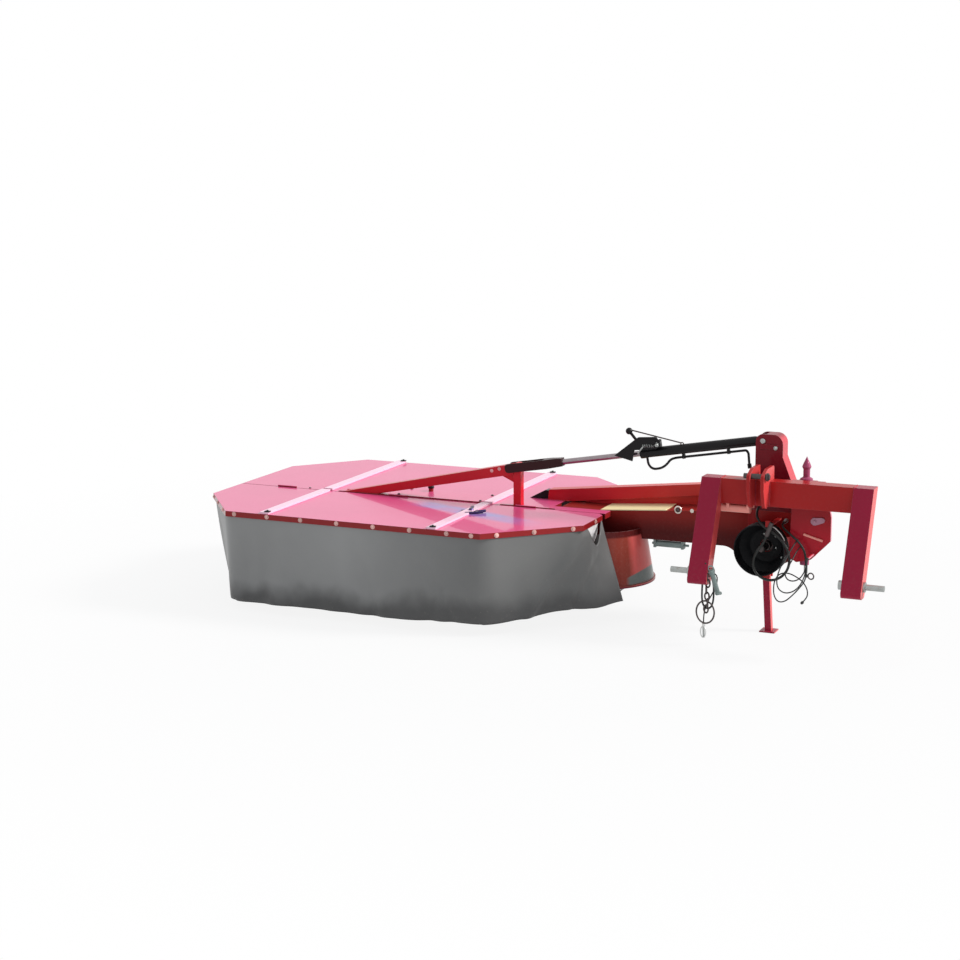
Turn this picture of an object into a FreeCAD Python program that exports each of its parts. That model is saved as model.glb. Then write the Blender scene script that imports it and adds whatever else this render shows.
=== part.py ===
"""Two-drum rotary mower for a rear three-point hitch, as a parametric FreeCAD document.

Frame: millimetres, +Z up, ground at Z = 0.  The tractor stands at -Y and drives towards -Y.
The headstock with its three hitch points is at +X, the cutting unit with its two drums is at -X.
The mower is parked: it stands on its two skid dishes and on its parking stand.
"""
import FreeCAD, Part
import math
import os
import re
import Sketcher

V = FreeCAD.Vector
DOC = FreeCAD.newDocument("DrumMower")
SHEET = DOC.addObject("Spreadsheet::Sheet", "Sizes")
PIECES = []

# ---------------------------------------------------------------- driving sizes
SIZES = {
    # cutting unit: flat guard deck with cut corners
    "deck_x": -741.5, "deck_length": 2087, "deck_width": 1560, "deck_top": 515,
    "corner_left": 298, "corner_right": 384, "corner_front": 369, "corner_rear": 350,
    "sheet_metal": 4, "rim_height": 28, "split_y": -115, "split_gap": 6, "hinge_radius": 5, "hinge_z": 519.4,
    "skirt_thick": 6, "skirt_bottom": 22, "fit_gap": 0.3,
    "rail_left": -524, "rail_right": 400, "rail_wide": 50, "rail_tall": 10, "rail_back_off": 12,
    # drums, knives and skid dishes
    "drum_pitch": 925, "drum_y": 0, "drum_radius": 190, "drum_top": 405,
    "rotor_radius": 430, "rotor_top": 118, "rotor_bottom": 92, "drum_wall": 6,
    "knife_stick": 55, "knife_wide": 46, "knife_thick": 4, "knife_count": 3,
    "dish_radius": 300, "dish_tall": 70, "dish_wall": 6, "drum_shaft_radius": 30,
    # gear beam under the deck
    "gear_beam_wide": 140, "gear_beam_tall": 84, "gear_beam_left": -620,
    # belt housing, pivot and carrying tube of the arm
    "pivot_x": 1145, "pivot_z": 440, "pivot_tube_radius": 55,
    "housing_front": -30, "housing_deep": 180, "housing_left": 0, "housing_foot": 387,
    "apron_x": 240, "apron_top_radius": 221, "apron_top_z": 440, "apron_foot_radius": 266, "apron_foot_z": 163,
    "housing_end_radius": 124, "housing_room": 8, "cutout_gap": 3, "lid_left": 245, "lid_right": 590, "rise_end": 945,
    "tension_x": 650, "tension_drop": 22,
    "arm_tube_size": 64, "arm_tube_left": -100, "arm_tube_rise": 136, "tube_bend": 40, "tube_over": 32,
    # lift linkage
    "link_y": -80, "tower_pin_x": 1100, "tower_pin_z": 934, "tower_base": 600,
    "tower_plate": 12, "tower_gap": 64, "post_x": -180, "post_pin_z": 714, "post_wide": 40,
    "strut_size": 50, "strut_foot_x": -1178, "rod_radius": 14, "barrel_radius": 24,
    "barrel_bore_start": 60, "gland_at": 632, "rod_start": 520, "link_start": 1053,
    "link_tall": 46, "link_gap": 60, "link_plate": 6, "link_open": 145, "link_tail": 62,
    "barrel_lug_radius": 28, "barrel_lug_wide": 56, "link_pin_radius": 15,
    # headstock
    "beam_mid_x": 1276.5, "beam_span": 825, "beam_deep": 80, "beam_tall": 120,
    "beam_front": -312, "beam_top": 780, "leg_wide": 94, "leg_bottom": 300, "leg_lean": 214,
    "hitch_pin_radius": 14, "hitch_pin_long": 96, "hitch_pin_y": -462, "hitch_pin_z": 354,
    "top_link_x": 1155, "top_link_rise": 460, "top_link_y": -384, "top_link_gap": 52,
    "lug_thick": 16, "top_pin_radius": 12.5,
    # upright breakaway pivot between headstock and carrier
    "swing_x": 1335, "swing_y": -172, "swing_pin_radius": 22, "knuckle_radius": 36,
    "knuckle_bottom": 425, "knuckle_top": 745, "ear_thick": 20,
    # drive input, guard and parking stand
    "guard_radius": 125, "guard_long": 130, "guard_wall": 5, "drive_shaft_radius": 17.5,
    "stand_x": 1130, "stand_y": -100, "stand_size": 32, "stand_hinge_z": 290, "stand_foot": 76, "stand_lean": 18,
    "hub_radius": 95, "carrier_front": -160, "carrier_back": -36,
}
for row, (alias, value) in enumerate(SIZES.items(), start=1):
    SHEET.set("A%d" % row, alias)
    SHEET.set("B%d" % row, str(value))
    SHEET.setAlias("B%d" % row, alias)
DOC.recompute()

ALIASES = re.compile(r"\b(" + "|".join(SIZES) + r")\b")


def cells(text):
    """Write a formula in size names as an expression on the sheet."""
    return ALIASES.sub(r"Sizes.\1", str(text))


def number(text):
    """The value that a formula in size names has now."""
    value = SHEET.evalExpression(cells(text))
    return float(getattr(value, "Value", value))


# ---------------------------------------------------------------- helpers
def place(piece, x="0", y="0", z="0"):
    """Tie a piece's position to the sheet."""
    for axis, text in zip("xyz", (x, y, z)):
        piece.setExpression("Placement.Base." + axis, cells(text))


def piece(obj, label):
    """Name an object as one of the mower's pieces."""
    obj.Label = label
    PIECES.append(obj)
    return obj


def body(label):
    return piece(DOC.addObject("PartDesign::Body", label), label)


def sketch_on(owner, role, lift=None):
    sketch = owner.newObject("Sketcher::SketchObject", "Sketch")
    plane = [f for f in owner.Origin.OriginFeatures if f.Role == role][0]
    sketch.AttachmentSupport = [(plane, "")]
    sketch.MapMode = "FlatFace"
    if lift is not None:
        sketch.setExpression("AttachmentOffset.Base.z", cells(lift))
    return sketch


def fix_point(sketch, geometry, end, u, v):
    """Hold a sketch point at two formulas measured from the sketch's origin."""
    for kind, text in (("DistanceX", u), ("DistanceY", v)):
        index = sketch.addConstraint(Sketcher.Constraint(kind, -1, 1, geometry, end, number(text)))
        sketch.setExpression("Constraints[%d]" % index, cells(text))


def outline(sketch, corners):
    """A closed outline of straight sides; a corner may carry a third value, its radius."""
    points = [V(number(c[0]), number(c[1]), 0) for c in corners]
    radii = [number(c[2]) if len(c) > 2 else 0.0 for c in corners]
    count = len(corners)
    area = sum(points[i].x * points[(i + 1) % count].y - points[(i + 1) % count].x * points[i].y
               for i in range(count))
    starts, ends, arcs = list(points), list(points), {}
    for i in range(count):
        if radii[i] <= 0:
            continue
        to_back = (points[i - 1] - points[i]).normalize()
        to_next = (points[(i + 1) % count] - points[i]).normalize()
        half = to_back.getAngle(to_next) / 2
        cut = radii[i] / math.tan(half)
        ends[i] = points[i] + to_back * cut
        starts[i] = points[i] + to_next * cut
        centre = points[i] + (to_back + to_next).normalize() * (radii[i] / math.sin(half))
        arcs[i] = (centre, to_back.cross(to_next).z < 0)
    first = sketch.GeometryCount
    for i in range(count):
        sketch.addGeometry(Part.LineSegment(starts[i], ends[(i + 1) % count]))
    for i in range(count):
        back = first + (i - 1) % count
        if i not in arcs:
            sketch.addConstraint(Sketcher.Constraint("Coincident", back, 2, first + i, 1))
            fix_point(sketch, first + i, 1, corners[i][0], corners[i][1])
            continue
        centre, left_turn = arcs[i]
        a, b = (ends[i], starts[i]) if left_turn else (starts[i], ends[i])
        angle_a = math.atan2(a.y - centre.y, a.x - centre.x)
        angle_b = math.atan2(b.y - centre.y, b.x - centre.x)
        circle = Part.Circle(centre, V(0, 0, 1), radii[i])
        arc = sketch.addGeometry(Part.ArcOfCircle(circle, angle_a, angle_b))
        back_end, next_end = (1, 2) if left_turn else (2, 1)
        sketch.addConstraint(Sketcher.Constraint("Tangent", back, 2, arc, back_end))
        sketch.addConstraint(Sketcher.Constraint("Tangent", first + i, 1, arc, next_end))
        index = sketch.addConstraint(Sketcher.Constraint("Radius", arc, radii[i]))
        sketch.setExpression("Constraints[%d]" % index, cells(corners[i][2]))
        corner = sketch.addGeometry(Part.Point(points[i]), True)
        sketch.addConstraint(Sketcher.Constraint("PointOnObject", corner, 1, back))
        sketch.addConstraint(Sketcher.Constraint("PointOnObject", corner, 1, first + i))
        fix_point(sketch, corner, 1, corners[i][0], corners[i][1])
    assert abs(area) > 0, "an outline needs an area"
    return sketch


def ring(sketch, u, v, radius):
    """A circle at two formulas with a radius."""
    circle = sketch.addGeometry(Part.Circle(V(number(u), number(v), 0), V(0, 0, 1), number(radius)))
    fix_point(sketch, circle, 3, u, v)
    index = sketch.addConstraint(Sketcher.Constraint("Radius", circle, number(radius)))
    sketch.setExpression("Constraints[%d]" % index, cells(radius))
    return sketch


def extrude(owner, kind, sketch, length, reverse=False):
    """Pad or pocket a sketch by a length along its plane's normal."""
    feature = owner.newObject("PartDesign::" + kind, kind)
    feature.Profile = sketch
    feature.Reversed = reverse
    feature.setExpression("Length", cells(length))
    return feature


def pad(owner, role, corners, length, lift=None, reverse=False):
    return extrude(owner, "Pad", outline(sketch_on(owner, role, lift), corners), length, reverse)


def pocket(owner, role, corners, length, lift=None, reverse=False):
    return extrude(owner, "Pocket", outline(sketch_on(owner, role, lift), corners), length, reverse)


def turn(owner, corners, role="XZ_Plane", axis="V_Axis"):
    """A full revolution of an outline about one axis of its sketch."""
    feature = owner.newObject("PartDesign::Revolution", "Revolution")
    feature.Profile = outline(sketch_on(owner, role), corners)
    feature.ReferenceAxis = (feature.Profile[0], [axis])
    feature.Angle = 360
    return feature


def box(name, x, y, z, long, deep, tall):
    """A block from its low corner."""
    obj = DOC.addObject("Part::Box", name)
    for prop, text in (("Length", long), ("Width", deep), ("Height", tall)):
        obj.setExpression(prop, cells(text))
    place(obj, x, y, z)
    return obj


def rod(name, radius, height, x, y, z, turned=None):
    """A cylinder from its base; turned is the axis and angle that lay it down."""
    obj = DOC.addObject("Part::Cylinder", name)
    obj.setExpression("Radius", cells(radius))
    obj.setExpression("Height", cells(height))
    if turned:
        obj.Placement = FreeCAD.Placement(V(), FreeCAD.Rotation(*turned))
    place(obj, x, y, z)
    return obj


def ball(name, radius, x, y, z):
    """A sphere about its middle."""
    obj = DOC.addObject("Part::Sphere", name)
    obj.setExpression("Radius", cells(radius))
    place(obj, x, y, z)
    return obj


ALONG_X = (V(0, 1, 0), 90)
ALONG_Y = (V(1, 0, 0), -90)


def weld(name, *parts):
    """Weld parts into one shape that is used inside a piece."""
    obj = DOC.addObject("Part::MultiFuse", name)
    obj.Shapes = list(parts)
    return obj


def join(label, *parts):
    """Weld parts into one piece."""
    return piece(weld(label, *parts), label)


def group(label, *parts):
    """Separate solids that share one piece."""
    obj = DOC.addObject("Part::Compound", label)
    obj.Links = list(parts)
    return piece(obj, label)


# ---------------------------------------------------------------- guard deck and skirt
HALF_L = "deck_length / 2"
HALF_W = "deck_width / 2"


def octagon(inset, front=True, rear=True, back_shift="0"):
    """Corners of the deck's plan, set in by a distance and cut at the split line."""
    left, right = "-(%s) + (%s)" % (HALF_L, inset), "%s - (%s)" % (HALF_L, inset)
    low, high = "-(%s) + (%s)" % (HALF_W, inset), "%s - (%s)" % (HALF_W, inset)
    cut = "(%s) * 0.42" % inset
    corner_l = "-(%s) + corner_left + %s" % (HALF_L, cut)
    corner_r = "%s - corner_right - %s" % (HALF_L, cut)
    if front:
        edge = "split_y - split_gap / 2 - (%s)" % back_shift
        return [(left, edge), (left, "-(%s) + corner_front + %s" % (HALF_W, cut)), (corner_l, low),
                (corner_r, low), (right, "-(%s) + corner_front + %s" % (HALF_W, cut)), (right, edge)]
    edge = "split_y + split_gap / 2 + (%s)" % back_shift
    return [(left, edge), (right, edge), (right, "%s - corner_rear - %s" % (HALF_W, cut)),
            (corner_r, high), (corner_l, high), (left, "%s - corner_rear - %s" % (HALF_W, cut))]


def deck_half(label, front):
    """One half of the folded sheet-metal deck with its turned-down rim."""
    half = body(label)
    pad(half, "XY_Plane", octagon("0", front, not front), "rim_height", "deck_top - rim_height")
    pocket(half, "XY_Plane", octagon("sheet_metal", front, not front, "-20"),
           "rim_height - sheet_metal", "deck_top - rim_height", reverse=True)
    place(half, "deck_x")
    return half


deck_front = deck_half("deck_front", True)
deck_rear = deck_half("deck_rear", False)
# cut-out of the rear half round the belt housing and its end
pocket(deck_rear, "XY_Plane",
       [("housing_left - deck_x - cutout_gap", "housing_front - cutout_gap"),
        ("deck_length / 2 + housing_room", "housing_front - cutout_gap"),
        ("deck_length / 2 + housing_room", "housing_front + housing_deep + cutout_gap"),
        ("housing_left - deck_x - cutout_gap", "housing_front + housing_deep + cutout_gap")],
       "rim_height + housing_room", "deck_top - rim_height - housing_room / 2", reverse=True)

# clipped rear corner of the flap on the inner side
pocket(deck_front, "XY_Plane",
       [("deck_length / 2 - 32", "split_y"), ("deck_length / 2 + 4", "split_y - 40.5"), ("deck_length / 2 + 4", "split_y")],
       "rim_height + 2", "deck_top - rim_height - 1", reverse=True)

SKIRT_OUT = "sheet_metal + fit_gap"
SKIRT_IN = "sheet_metal + fit_gap + skirt_thick"
SKIRT_TALL = "deck_top - sheet_metal - fit_gap - skirt_bottom"


def skirt(label, front):
    """A hanging curtain inside the rim of one deck half."""
    curtain = DOC.addObject("PartDesign::Body", label)
    curtain.Label = label
    pad(curtain, "XY_Plane", octagon(SKIRT_OUT, front, not front), SKIRT_TALL, "skirt_bottom")
    pocket(curtain, "XY_Plane", octagon(SKIRT_IN, front, not front, "-20"), SKIRT_TALL,
           "skirt_bottom", reverse=True)
    place(curtain, "deck_x")
    return curtain


skirt_front = skirt("skirt_front", True)
# the loose end of the curtain hangs down from its fastenings along the inner side
pocket(skirt_front, "YZ_Plane",
       [("-deck_width / 2 + corner_front - 6", "deck_top + 5"), ("-deck_width / 2 + corner_front + 35", "deck_top - 39"),
        ("-deck_width / 2 + corner_front + 117", "deck_top - 116"), ("split_y - 29", "deck_top - 25"),
        ("split_y - 22", "deck_top + 5")], "60", "deck_length / 2 - 40", reverse=True)
pocket(skirt_front, "YZ_Plane",
       [("split_y - 24", "skirt_bottom - 2"), ("split_y + 20", "skirt_bottom - 2"), ("split_y + 20", "deck_top + 5"),
        ("split_y - 24", "deck_top + 5")], "60", "deck_length / 2 - 40", reverse=True)
# the swath leaves through the open middle of the rear, and the arm through the inner side
SWATH = "430"
skirt_rear_left = skirt("RearLeftCurtain", False)
pocket(skirt_rear_left, "XY_Plane",
       [("-(%s)" % SWATH, "split_y"), ("deck_length / 2 + 2", "split_y"), ("deck_length / 2 + 2", "deck_width / 2 + 2"),
        ("-(%s)" % SWATH, "deck_width / 2 + 2")], SKIRT_TALL, "skirt_bottom", reverse=True)
skirt_rear_right = skirt("RearRightCurtain", False)
pocket(skirt_rear_right, "XY_Plane",
       [("-deck_length / 2 - 2", "split_y"), (SWATH, "split_y"), (SWATH, "deck_width / 2 + 2"),
        ("-deck_length / 2 - 2", "deck_width / 2 + 2")], SKIRT_TALL, "skirt_bottom", reverse=True)
pocket(skirt_rear_right, "XY_Plane",
       [("deck_length / 2 - 60", "split_y"), ("deck_length / 2 + 2", "split_y"),
        ("deck_length / 2 + 2", "housing_front + housing_deep + 40"),
        ("deck_length / 2 - 60", "housing_front + housing_deep + 40")], SKIRT_TALL, "skirt_bottom", reverse=True)
piece(skirt_front, "skirt_front")
group("skirt_rear", skirt_rear_left, skirt_rear_right)


def rails(label, y0, y1):
    """The two flat stiffening rails that lie across one deck half."""
    bars = [box("Rail", "deck_x + %s - rail_wide / 2" % side, y0, "deck_top", "rail_wide",
                "%s - (%s)" % (y1, y0), "rail_tall") for side in ("rail_left", "rail_right")]
    return group(label, *bars)


rails("rails_front", "-deck_width / 2 + 4", "split_y - rail_back_off")
rails("rails_rear", "split_y + rail_back_off", "deck_width / 2 - 4")

join("gear_cover",
     box("CoverLid", "deck_x - 128", "split_y + 9", "deck_top", "494", "185", "6"),
     rod("CoverKnob", "13", "16", "deck_x + 6", "drum_y + 50", "deck_top + 6"))

# ---------------------------------------------------------------- gear beam, drums, knives, dishes
BEAM_TOP = "deck_top - sheet_metal"
join("gear_beam",
     box("GearTrough", "deck_x + gear_beam_left", "drum_y - gear_beam_wide / 2", BEAM_TOP + " - gear_beam_tall",
         "housing_left - 5 - deck_x - gear_beam_left", "gear_beam_wide", "gear_beam_tall"),
     box("BevelCase", "housing_left - 90", "housing_front - 80", BEAM_TOP + " - 110",
         "210", "80", "106"))

shafts = []
for name, side, phase in (("outer", "-1", 15), ("inner", "1", -15)):
    x = "deck_x + (%s) * drum_pitch / 2" % side
    shaft = DOC.addObject("PartDesign::Body", "DrumShaft")
    shafts.append(shaft)
    turn(shaft, [("0", "dish_tall - 30"), ("drum_shaft_radius", "dish_tall - 30"),
                 ("drum_shaft_radius", "drum_top + 4"), ("drum_shaft_radius + 30", "drum_top + 4"),
                 ("drum_shaft_radius + 30", "%s - gear_beam_tall" % BEAM_TOP), ("0", "%s - gear_beam_tall" % BEAM_TOP)])
    place(shaft, x, "drum_y")
    drum = body("drum_" + name)
    turn(drum, [("drum_shaft_radius + fit_gap", "drum_top - 24"), ("drum_radius - drum_wall - 14", "drum_top - 24"),
                ("drum_radius - drum_wall", "drum_top - 44"),
                ("drum_radius - drum_wall", "rotor_top + 96", "40"), ("rotor_radius - 110", "rotor_bottom"),
                ("rotor_radius", "rotor_bottom"), ("rotor_radius", "rotor_bottom + 14"),
                ("rotor_radius - 100", "rotor_bottom + 16"), ("drum_radius", "rotor_top + 98", "40"),
                ("drum_radius", "drum_top - 24"), ("drum_radius - 16", "drum_top - 8"),
                ("drum_shaft_radius + fit_gap", "drum_top - 8")])
    place(drum, x, "drum_y")
    blades = []
    for k in range(SIZES["knife_count"]):
        turnby = phase + k * 360.0 / SIZES["knife_count"]
        blade = DOC.addObject("Part::Box", "Blade")
        blade.setExpression("Length", cells("knife_stick + 60"))
        blade.setExpression("Width", cells("knife_wide"))
        blade.setExpression("Height", cells("knife_thick"))
        blade.Placement = FreeCAD.Placement(V(), FreeCAD.Rotation(V(0, 0, 1), turnby))
        angle = "%s" % turnby
        reach = "(rotor_radius - 60)"
        place(blade, "%s + %s * cos(%s) + knife_wide / 2 * sin(%s)" % (x, reach, angle, angle),
              "drum_y + %s * sin(%s) - knife_wide / 2 * cos(%s)" % (reach, angle, angle),
              "rotor_bottom - knife_thick")
        blades.append(blade)
    group("knives_" + name, *blades)
    dish = body("dish_" + name)
    turn(dish, [("0", "0"), ("dish_radius * 0.55", "0"), ("dish_radius", "dish_tall - 22"),
                ("dish_radius", "dish_tall - 16"), ("dish_radius * 0.55", "dish_wall + 2"),
                ("drum_shaft_radius + 26", "dish_wall + 2"), ("drum_shaft_radius + 26", "dish_tall"),
                ("drum_shaft_radius + fit_gap", "dish_tall"), ("drum_shaft_radius + fit_gap", "dish_tall - 30 - fit_gap"),
                ("0", "dish_tall - 30 - fit_gap")])
    place(dish, x, "drum_y")

group("drum_shafts", *shafts)

# ---------------------------------------------------------------- arm: belt housing, hub, tube, strut, post
housing = body("belt_housing")
pad(housing, "XZ_Plane",
    [("housing_left", "housing_foot", "55"), ("pivot_x - 235", "housing_foot", "80"),
     ("pivot_x - 120", "pivot_z - housing_end_radius", "70"),
     ("pivot_x + housing_end_radius", "pivot_z - housing_end_radius", "housing_end_radius - 6"),
     ("pivot_x + housing_end_radius", "pivot_z + housing_end_radius", "housing_end_radius - 8"),
     ("rise_end", "pivot_z + housing_end_radius"), ("lid_left", "deck_top - 2"), ("housing_left", "deck_top - 3", "40")],
    "housing_deep", "-housing_front", reverse=True)
extrude(housing, "Pocket", ring(sketch_on(housing, "XZ_Plane", "-housing_front"),
                                "pivot_x", "pivot_z", "pivot_tube_radius + fit_gap"),
        "housing_deep")

arm_tube = body("arm_tube")
pad(arm_tube, "XZ_Plane",
    [("arm_tube_left", "deck_top"), ("tube_bend", "deck_top"), ("pivot_x + 30", "deck_top + arm_tube_rise"),
     ("pivot_x + 30", "deck_top + arm_tube_rise + arm_tube_size - 10"),
     ("arm_tube_left + 6", "deck_top + arm_tube_size - 13")],
    "arm_tube_size", "-(housing_front + housing_deep - tube_over)", reverse=True)

tube_gusset = body("tube_gusset")
pad(tube_gusset, "XZ_Plane",
    [("arm_tube_left - 103", "deck_top"), ("arm_tube_left - fit_gap", "deck_top"),
     ("arm_tube_left - fit_gap", "deck_top + 45"), ("arm_tube_left - 19", "deck_top + 45")],
    "arm_tube_size - 14", "-(housing_front + housing_deep - tube_over + 7)", reverse=True)

LID_RISE = "(pivot_z + housing_end_radius - deck_top + 2) / (rise_end - lid_left)"
housing_lid = body("housing_lid")
pad(housing_lid, "XZ_Plane",
    [(at, "deck_top - 2 + (%s - lid_left) * %s + %s" % (at, LID_RISE, up))
     for at, up in (("lid_left", "0"), ("lid_right", "0"), ("lid_right", "4"), ("lid_left", "4"))],
    "housing_deep", "-housing_front", reverse=True)

# curved shield that closes the cutting unit's inner end below the belt housing
apron = DOC.addObject("PartDesign::Body", "ApronSheet")
shell = apron.newObject("PartDesign::Revolution", "Revolution")
shell.Profile = outline(sketch_on(apron, "XZ_Plane"),
                        [("apron_top_radius", "apron_top_z"), ("apron_foot_radius", "apron_foot_z + 12"),
                         ("apron_foot_radius + 8", "apron_foot_z + 12"), ("apron_foot_radius + 8", "apron_foot_z"),
                         ("apron_foot_radius - sheet_metal", "apron_foot_z"),
                         ("apron_top_radius - sheet_metal", "apron_top_z")])
shell.ReferenceAxis = (shell.Profile[0], ["V_Axis"])
shell.Angle = 135
place(apron, "apron_x", "drum_y")
apron.Placement.Rotation = FreeCAD.Rotation(V(0, 0, 1), -66)
inner_apron = DOC.addObject("Part::Cut", "inner_apron")
inner_apron.Base = apron
inner_apron.Tool = box("HousingNotch", "apron_x", "housing_front - cutout_gap", "housing_foot - fit_gap", "400",
                       "housing_deep + 2 * cutout_gap", "200")
piece(inner_apron, "inner_apron")

arm_hub = body("arm_hub")
pad(arm_hub, "XZ_Plane",
    [("pivot_x - 85", "pivot_z - 85", "80"), ("pivot_x + 85", "pivot_z - 85", "80"),
     ("pivot_x + 85", "pivot_z + 100", "20"), ("pivot_x + 30", "deck_top + arm_tube_rise - 0.1"),
     ("pivot_x - 60", "deck_top + arm_tube_rise * (1 - 90 / (pivot_x + 30 - tube_bend)) - 0.1"), ("pivot_x - 85", "pivot_z + 100", "20")],
    "arm_tube_size + housing_room", "-(housing_front + housing_deep)", reverse=True)
extrude(arm_hub, "Pocket", ring(sketch_on(arm_hub, "XZ_Plane", "-(housing_front + housing_deep)"),
                                "pivot_x", "pivot_z", "pivot_tube_radius + fit_gap"),
        "arm_tube_size + housing_room")

post = body("lift_post")
pad(post, "XZ_Plane",
    [("post_x - post_wide / 2", "deck_top"), ("post_x + post_wide / 2", "deck_top"),
     ("post_x + post_wide / 2", "post_pin_z + 22", "14"), ("post_x - post_wide / 2", "post_pin_z + 22", "14")],
    "post_wide", "-(link_y - post_wide / 2)", reverse=True)
pad(post, "XZ_Plane",
    [("post_x - post_wide / 2", "post_pin_z - 38 - fit_gap"), ("post_x - post_wide / 2 - 68", "post_pin_z - 53 - fit_gap"),
     ("post_x - post_wide / 2", "post_pin_z - 84")],
    "8", "-(link_y - 4)", reverse=True)

strut = body("lift_strut")
pad(strut, "XZ_Plane",
    [("strut_foot_x", "deck_top"), ("strut_foot_x + 190", "deck_top"),
     ("post_x - post_wide / 2", "post_pin_z - 38"), ("post_x - post_wide / 2", "post_pin_z + 16")],
    "strut_size", "-(link_y - strut_size / 2)", reverse=True)
TENSION_Z = "housing_foot - tension_drop"
join("belt_tensioner",
     rod("Spring", "16", "133", "tension_x - 112", "housing_front + 22", TENSION_Z, ALONG_X),
     rod("Screw", "6", "190", "tension_x - 135", "housing_front + 22", TENSION_Z, ALONG_X),
     box("TensionEar", "tension_x + 20", "housing_front + 4", TENSION_Z + " - 18", "12", "36",
         "tension_drop + 18 - fit_gap"),
     box("TensionEarLeft", "tension_x - 124", "housing_front + 4", TENSION_Z + " - 18", "12", "36",
         "tension_drop + 18 - fit_gap"))

# ---------------------------------------------------------------- carrier, tower and its pin
hub_long = "carrier_back - carrier_front"
carrier_block = weld("CarrierBlock",
                     rod("Hub", "hub_radius", hub_long, "pivot_x", "carrier_front", "pivot_z", ALONG_Y),
                     box("CarrierBox", "pivot_x - 105", "link_y - tower_gap / 2 - tower_plate",
                         "pivot_z + 40", "swing_x - pivot_x + 105 - 20", "tower_gap + 2 * tower_plate",
                         "tower_base - pivot_z - 40"),
                     box("KnuckleWeb", "swing_x - 60", "swing_y", "pivot_z + 40", "60",
                         "carrier_back - swing_y", "tower_base - pivot_z - 40"),
                     box("StandEarFront", "stand_x - 25", "stand_y - stand_size / 2 - 10.5", "stand_hinge_z - 20",
                         "50", "10", "80"),
                     box("StandEarRear", "stand_x - 25", "stand_y + stand_size / 2 + 0.5", "stand_hinge_z - 20",
                         "50", "10", "80"),
                     box("RestBar", "pivot_x + 41", "carrier_front - 172", "566", "24", "208", "6"),
                     box("RestTab", "pivot_x + 41", "carrier_front - 173", "566", "24", "6", "30"),
                     rod("Knuckle", "knuckle_radius", "knuckle_top - knuckle_bottom", "swing_x", "swing_y",
                         "knuckle_bottom"),
                     rod("PivotTube", "pivot_tube_radius",
                         "housing_front + housing_deep + housing_room + arm_tube_size + 5 - carrier_back + 10",
                         "pivot_x", "carrier_back - 10", "pivot_z", ALONG_Y))
carrier = DOC.addObject("Part::Cut", "carrier")
carrier.Base = carrier_block
bores = DOC.addObject("Part::Compound", "CarrierBores")
bores.Links = [rod("SwingBore", "swing_pin_radius + fit_gap", "600", "swing_x", "swing_y", "300"),
               rod("DriveBore", "30", "600", "pivot_x", "carrier_front - 20", "pivot_z", ALONG_Y),
               rod("StandBore", "8 + fit_gap", "stand_size + 60", "stand_x", "stand_y - stand_size / 2 - 30",
                   "stand_hinge_z", ALONG_Y)]
carrier.Tool = bores
piece(carrier, "carrier")

pivot_cap = join("pivot_cap", rod("PivotCap", "pivot_tube_radius + 17", "14", "pivot_x",
                                  "housing_front + housing_deep + housing_room + arm_tube_size + 5",
                                  "pivot_z", ALONG_Y),
                 rod("PivotNut", "24", "16", "pivot_x",
                     "housing_front + housing_deep + housing_room + arm_tube_size + 19", "pivot_z", ALONG_Y))

tower = body("lift_tower")
pad(tower, "XZ_Plane",
    [("pivot_x - 105", "tower_base"), ("swing_x - 62", "tower_base"), ("swing_x - 74", "tower_base + 120"),
     ("tower_pin_x + 104", "tower_pin_z - 70"), ("tower_pin_x + 104", "tower_pin_z + 36", "48"),
     ("tower_pin_x - 30", "tower_pin_z + 36", "36"),
     ("tower_pin_x - 30", "tower_pin_z - 120", "20"), ("pivot_x - 112", "tower_base + 130")],
    "tower_gap + 2 * tower_plate", "-(link_y - tower_gap / 2 - tower_plate)", reverse=True)
pocket(tower, "XZ_Plane",
       [("pivot_x - 200", "tower_base + 40"), ("pivot_x + 20", "tower_base + 40", "30"),
        ("pivot_x + 20", "tower_pin_z + barrel_lug_radius + 2"), ("tower_pin_x + 20", "tower_pin_z + barrel_lug_radius + 2"),
        ("tower_pin_x + 20", "tower_pin_z + 90"), ("pivot_x - 200", "tower_pin_z + 90")],
       "tower_gap", "-(link_y - tower_gap / 2)")
extrude(tower, "Pocket", ring(sketch_on(tower, "XZ_Plane", "-(link_y - tower_gap)"),
                              "tower_pin_x", "tower_pin_z", "link_pin_radius + fit_gap"), "2 * tower_gap")

KEEPER_Y = "link_y - tower_gap / 2 - tower_plate"
join("tower_pin",
     rod("TowerPin", "link_pin_radius", "tower_gap + 2 * tower_plate + 5", "tower_pin_x", KEEPER_Y + " - 4",
         "tower_pin_z", ALONG_Y),
     box("PinKeeper", "tower_pin_x - 6", KEEPER_Y + " - 4", "tower_pin_z - 36", "84", "3.5", "25"),
     rod("KeeperBolt", "9", "8", "tower_pin_x + 68", KEEPER_Y + " - 8", "tower_pin_z - 27", ALONG_Y))

group("flap_hinges", *[rod("FlapHinge", "hinge_radius", "110", "deck_x + (%s)" % at, "split_y", "hinge_z", ALONG_X)
                       for at in ("-820", "-160", "560")])

# ---------------------------------------------------------------- lift cylinder, rod and fork link
SLOPE = "atan((tower_pin_z - post_pin_z) / (tower_pin_x - post_x))"


def along_cylinder(obj):
    """Lay a piece drawn along its own -X axis from the tower pin towards the post pin."""
    obj.Placement = FreeCAD.Placement(V(), FreeCAD.Rotation(V(0, 1, 0), -number(SLOPE)))
    obj.setExpression("Placement.Rotation.Angle", cells("-(" + SLOPE + ")"))
    place(obj, "tower_pin_x", "link_y", "tower_pin_z")
    return obj


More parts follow.
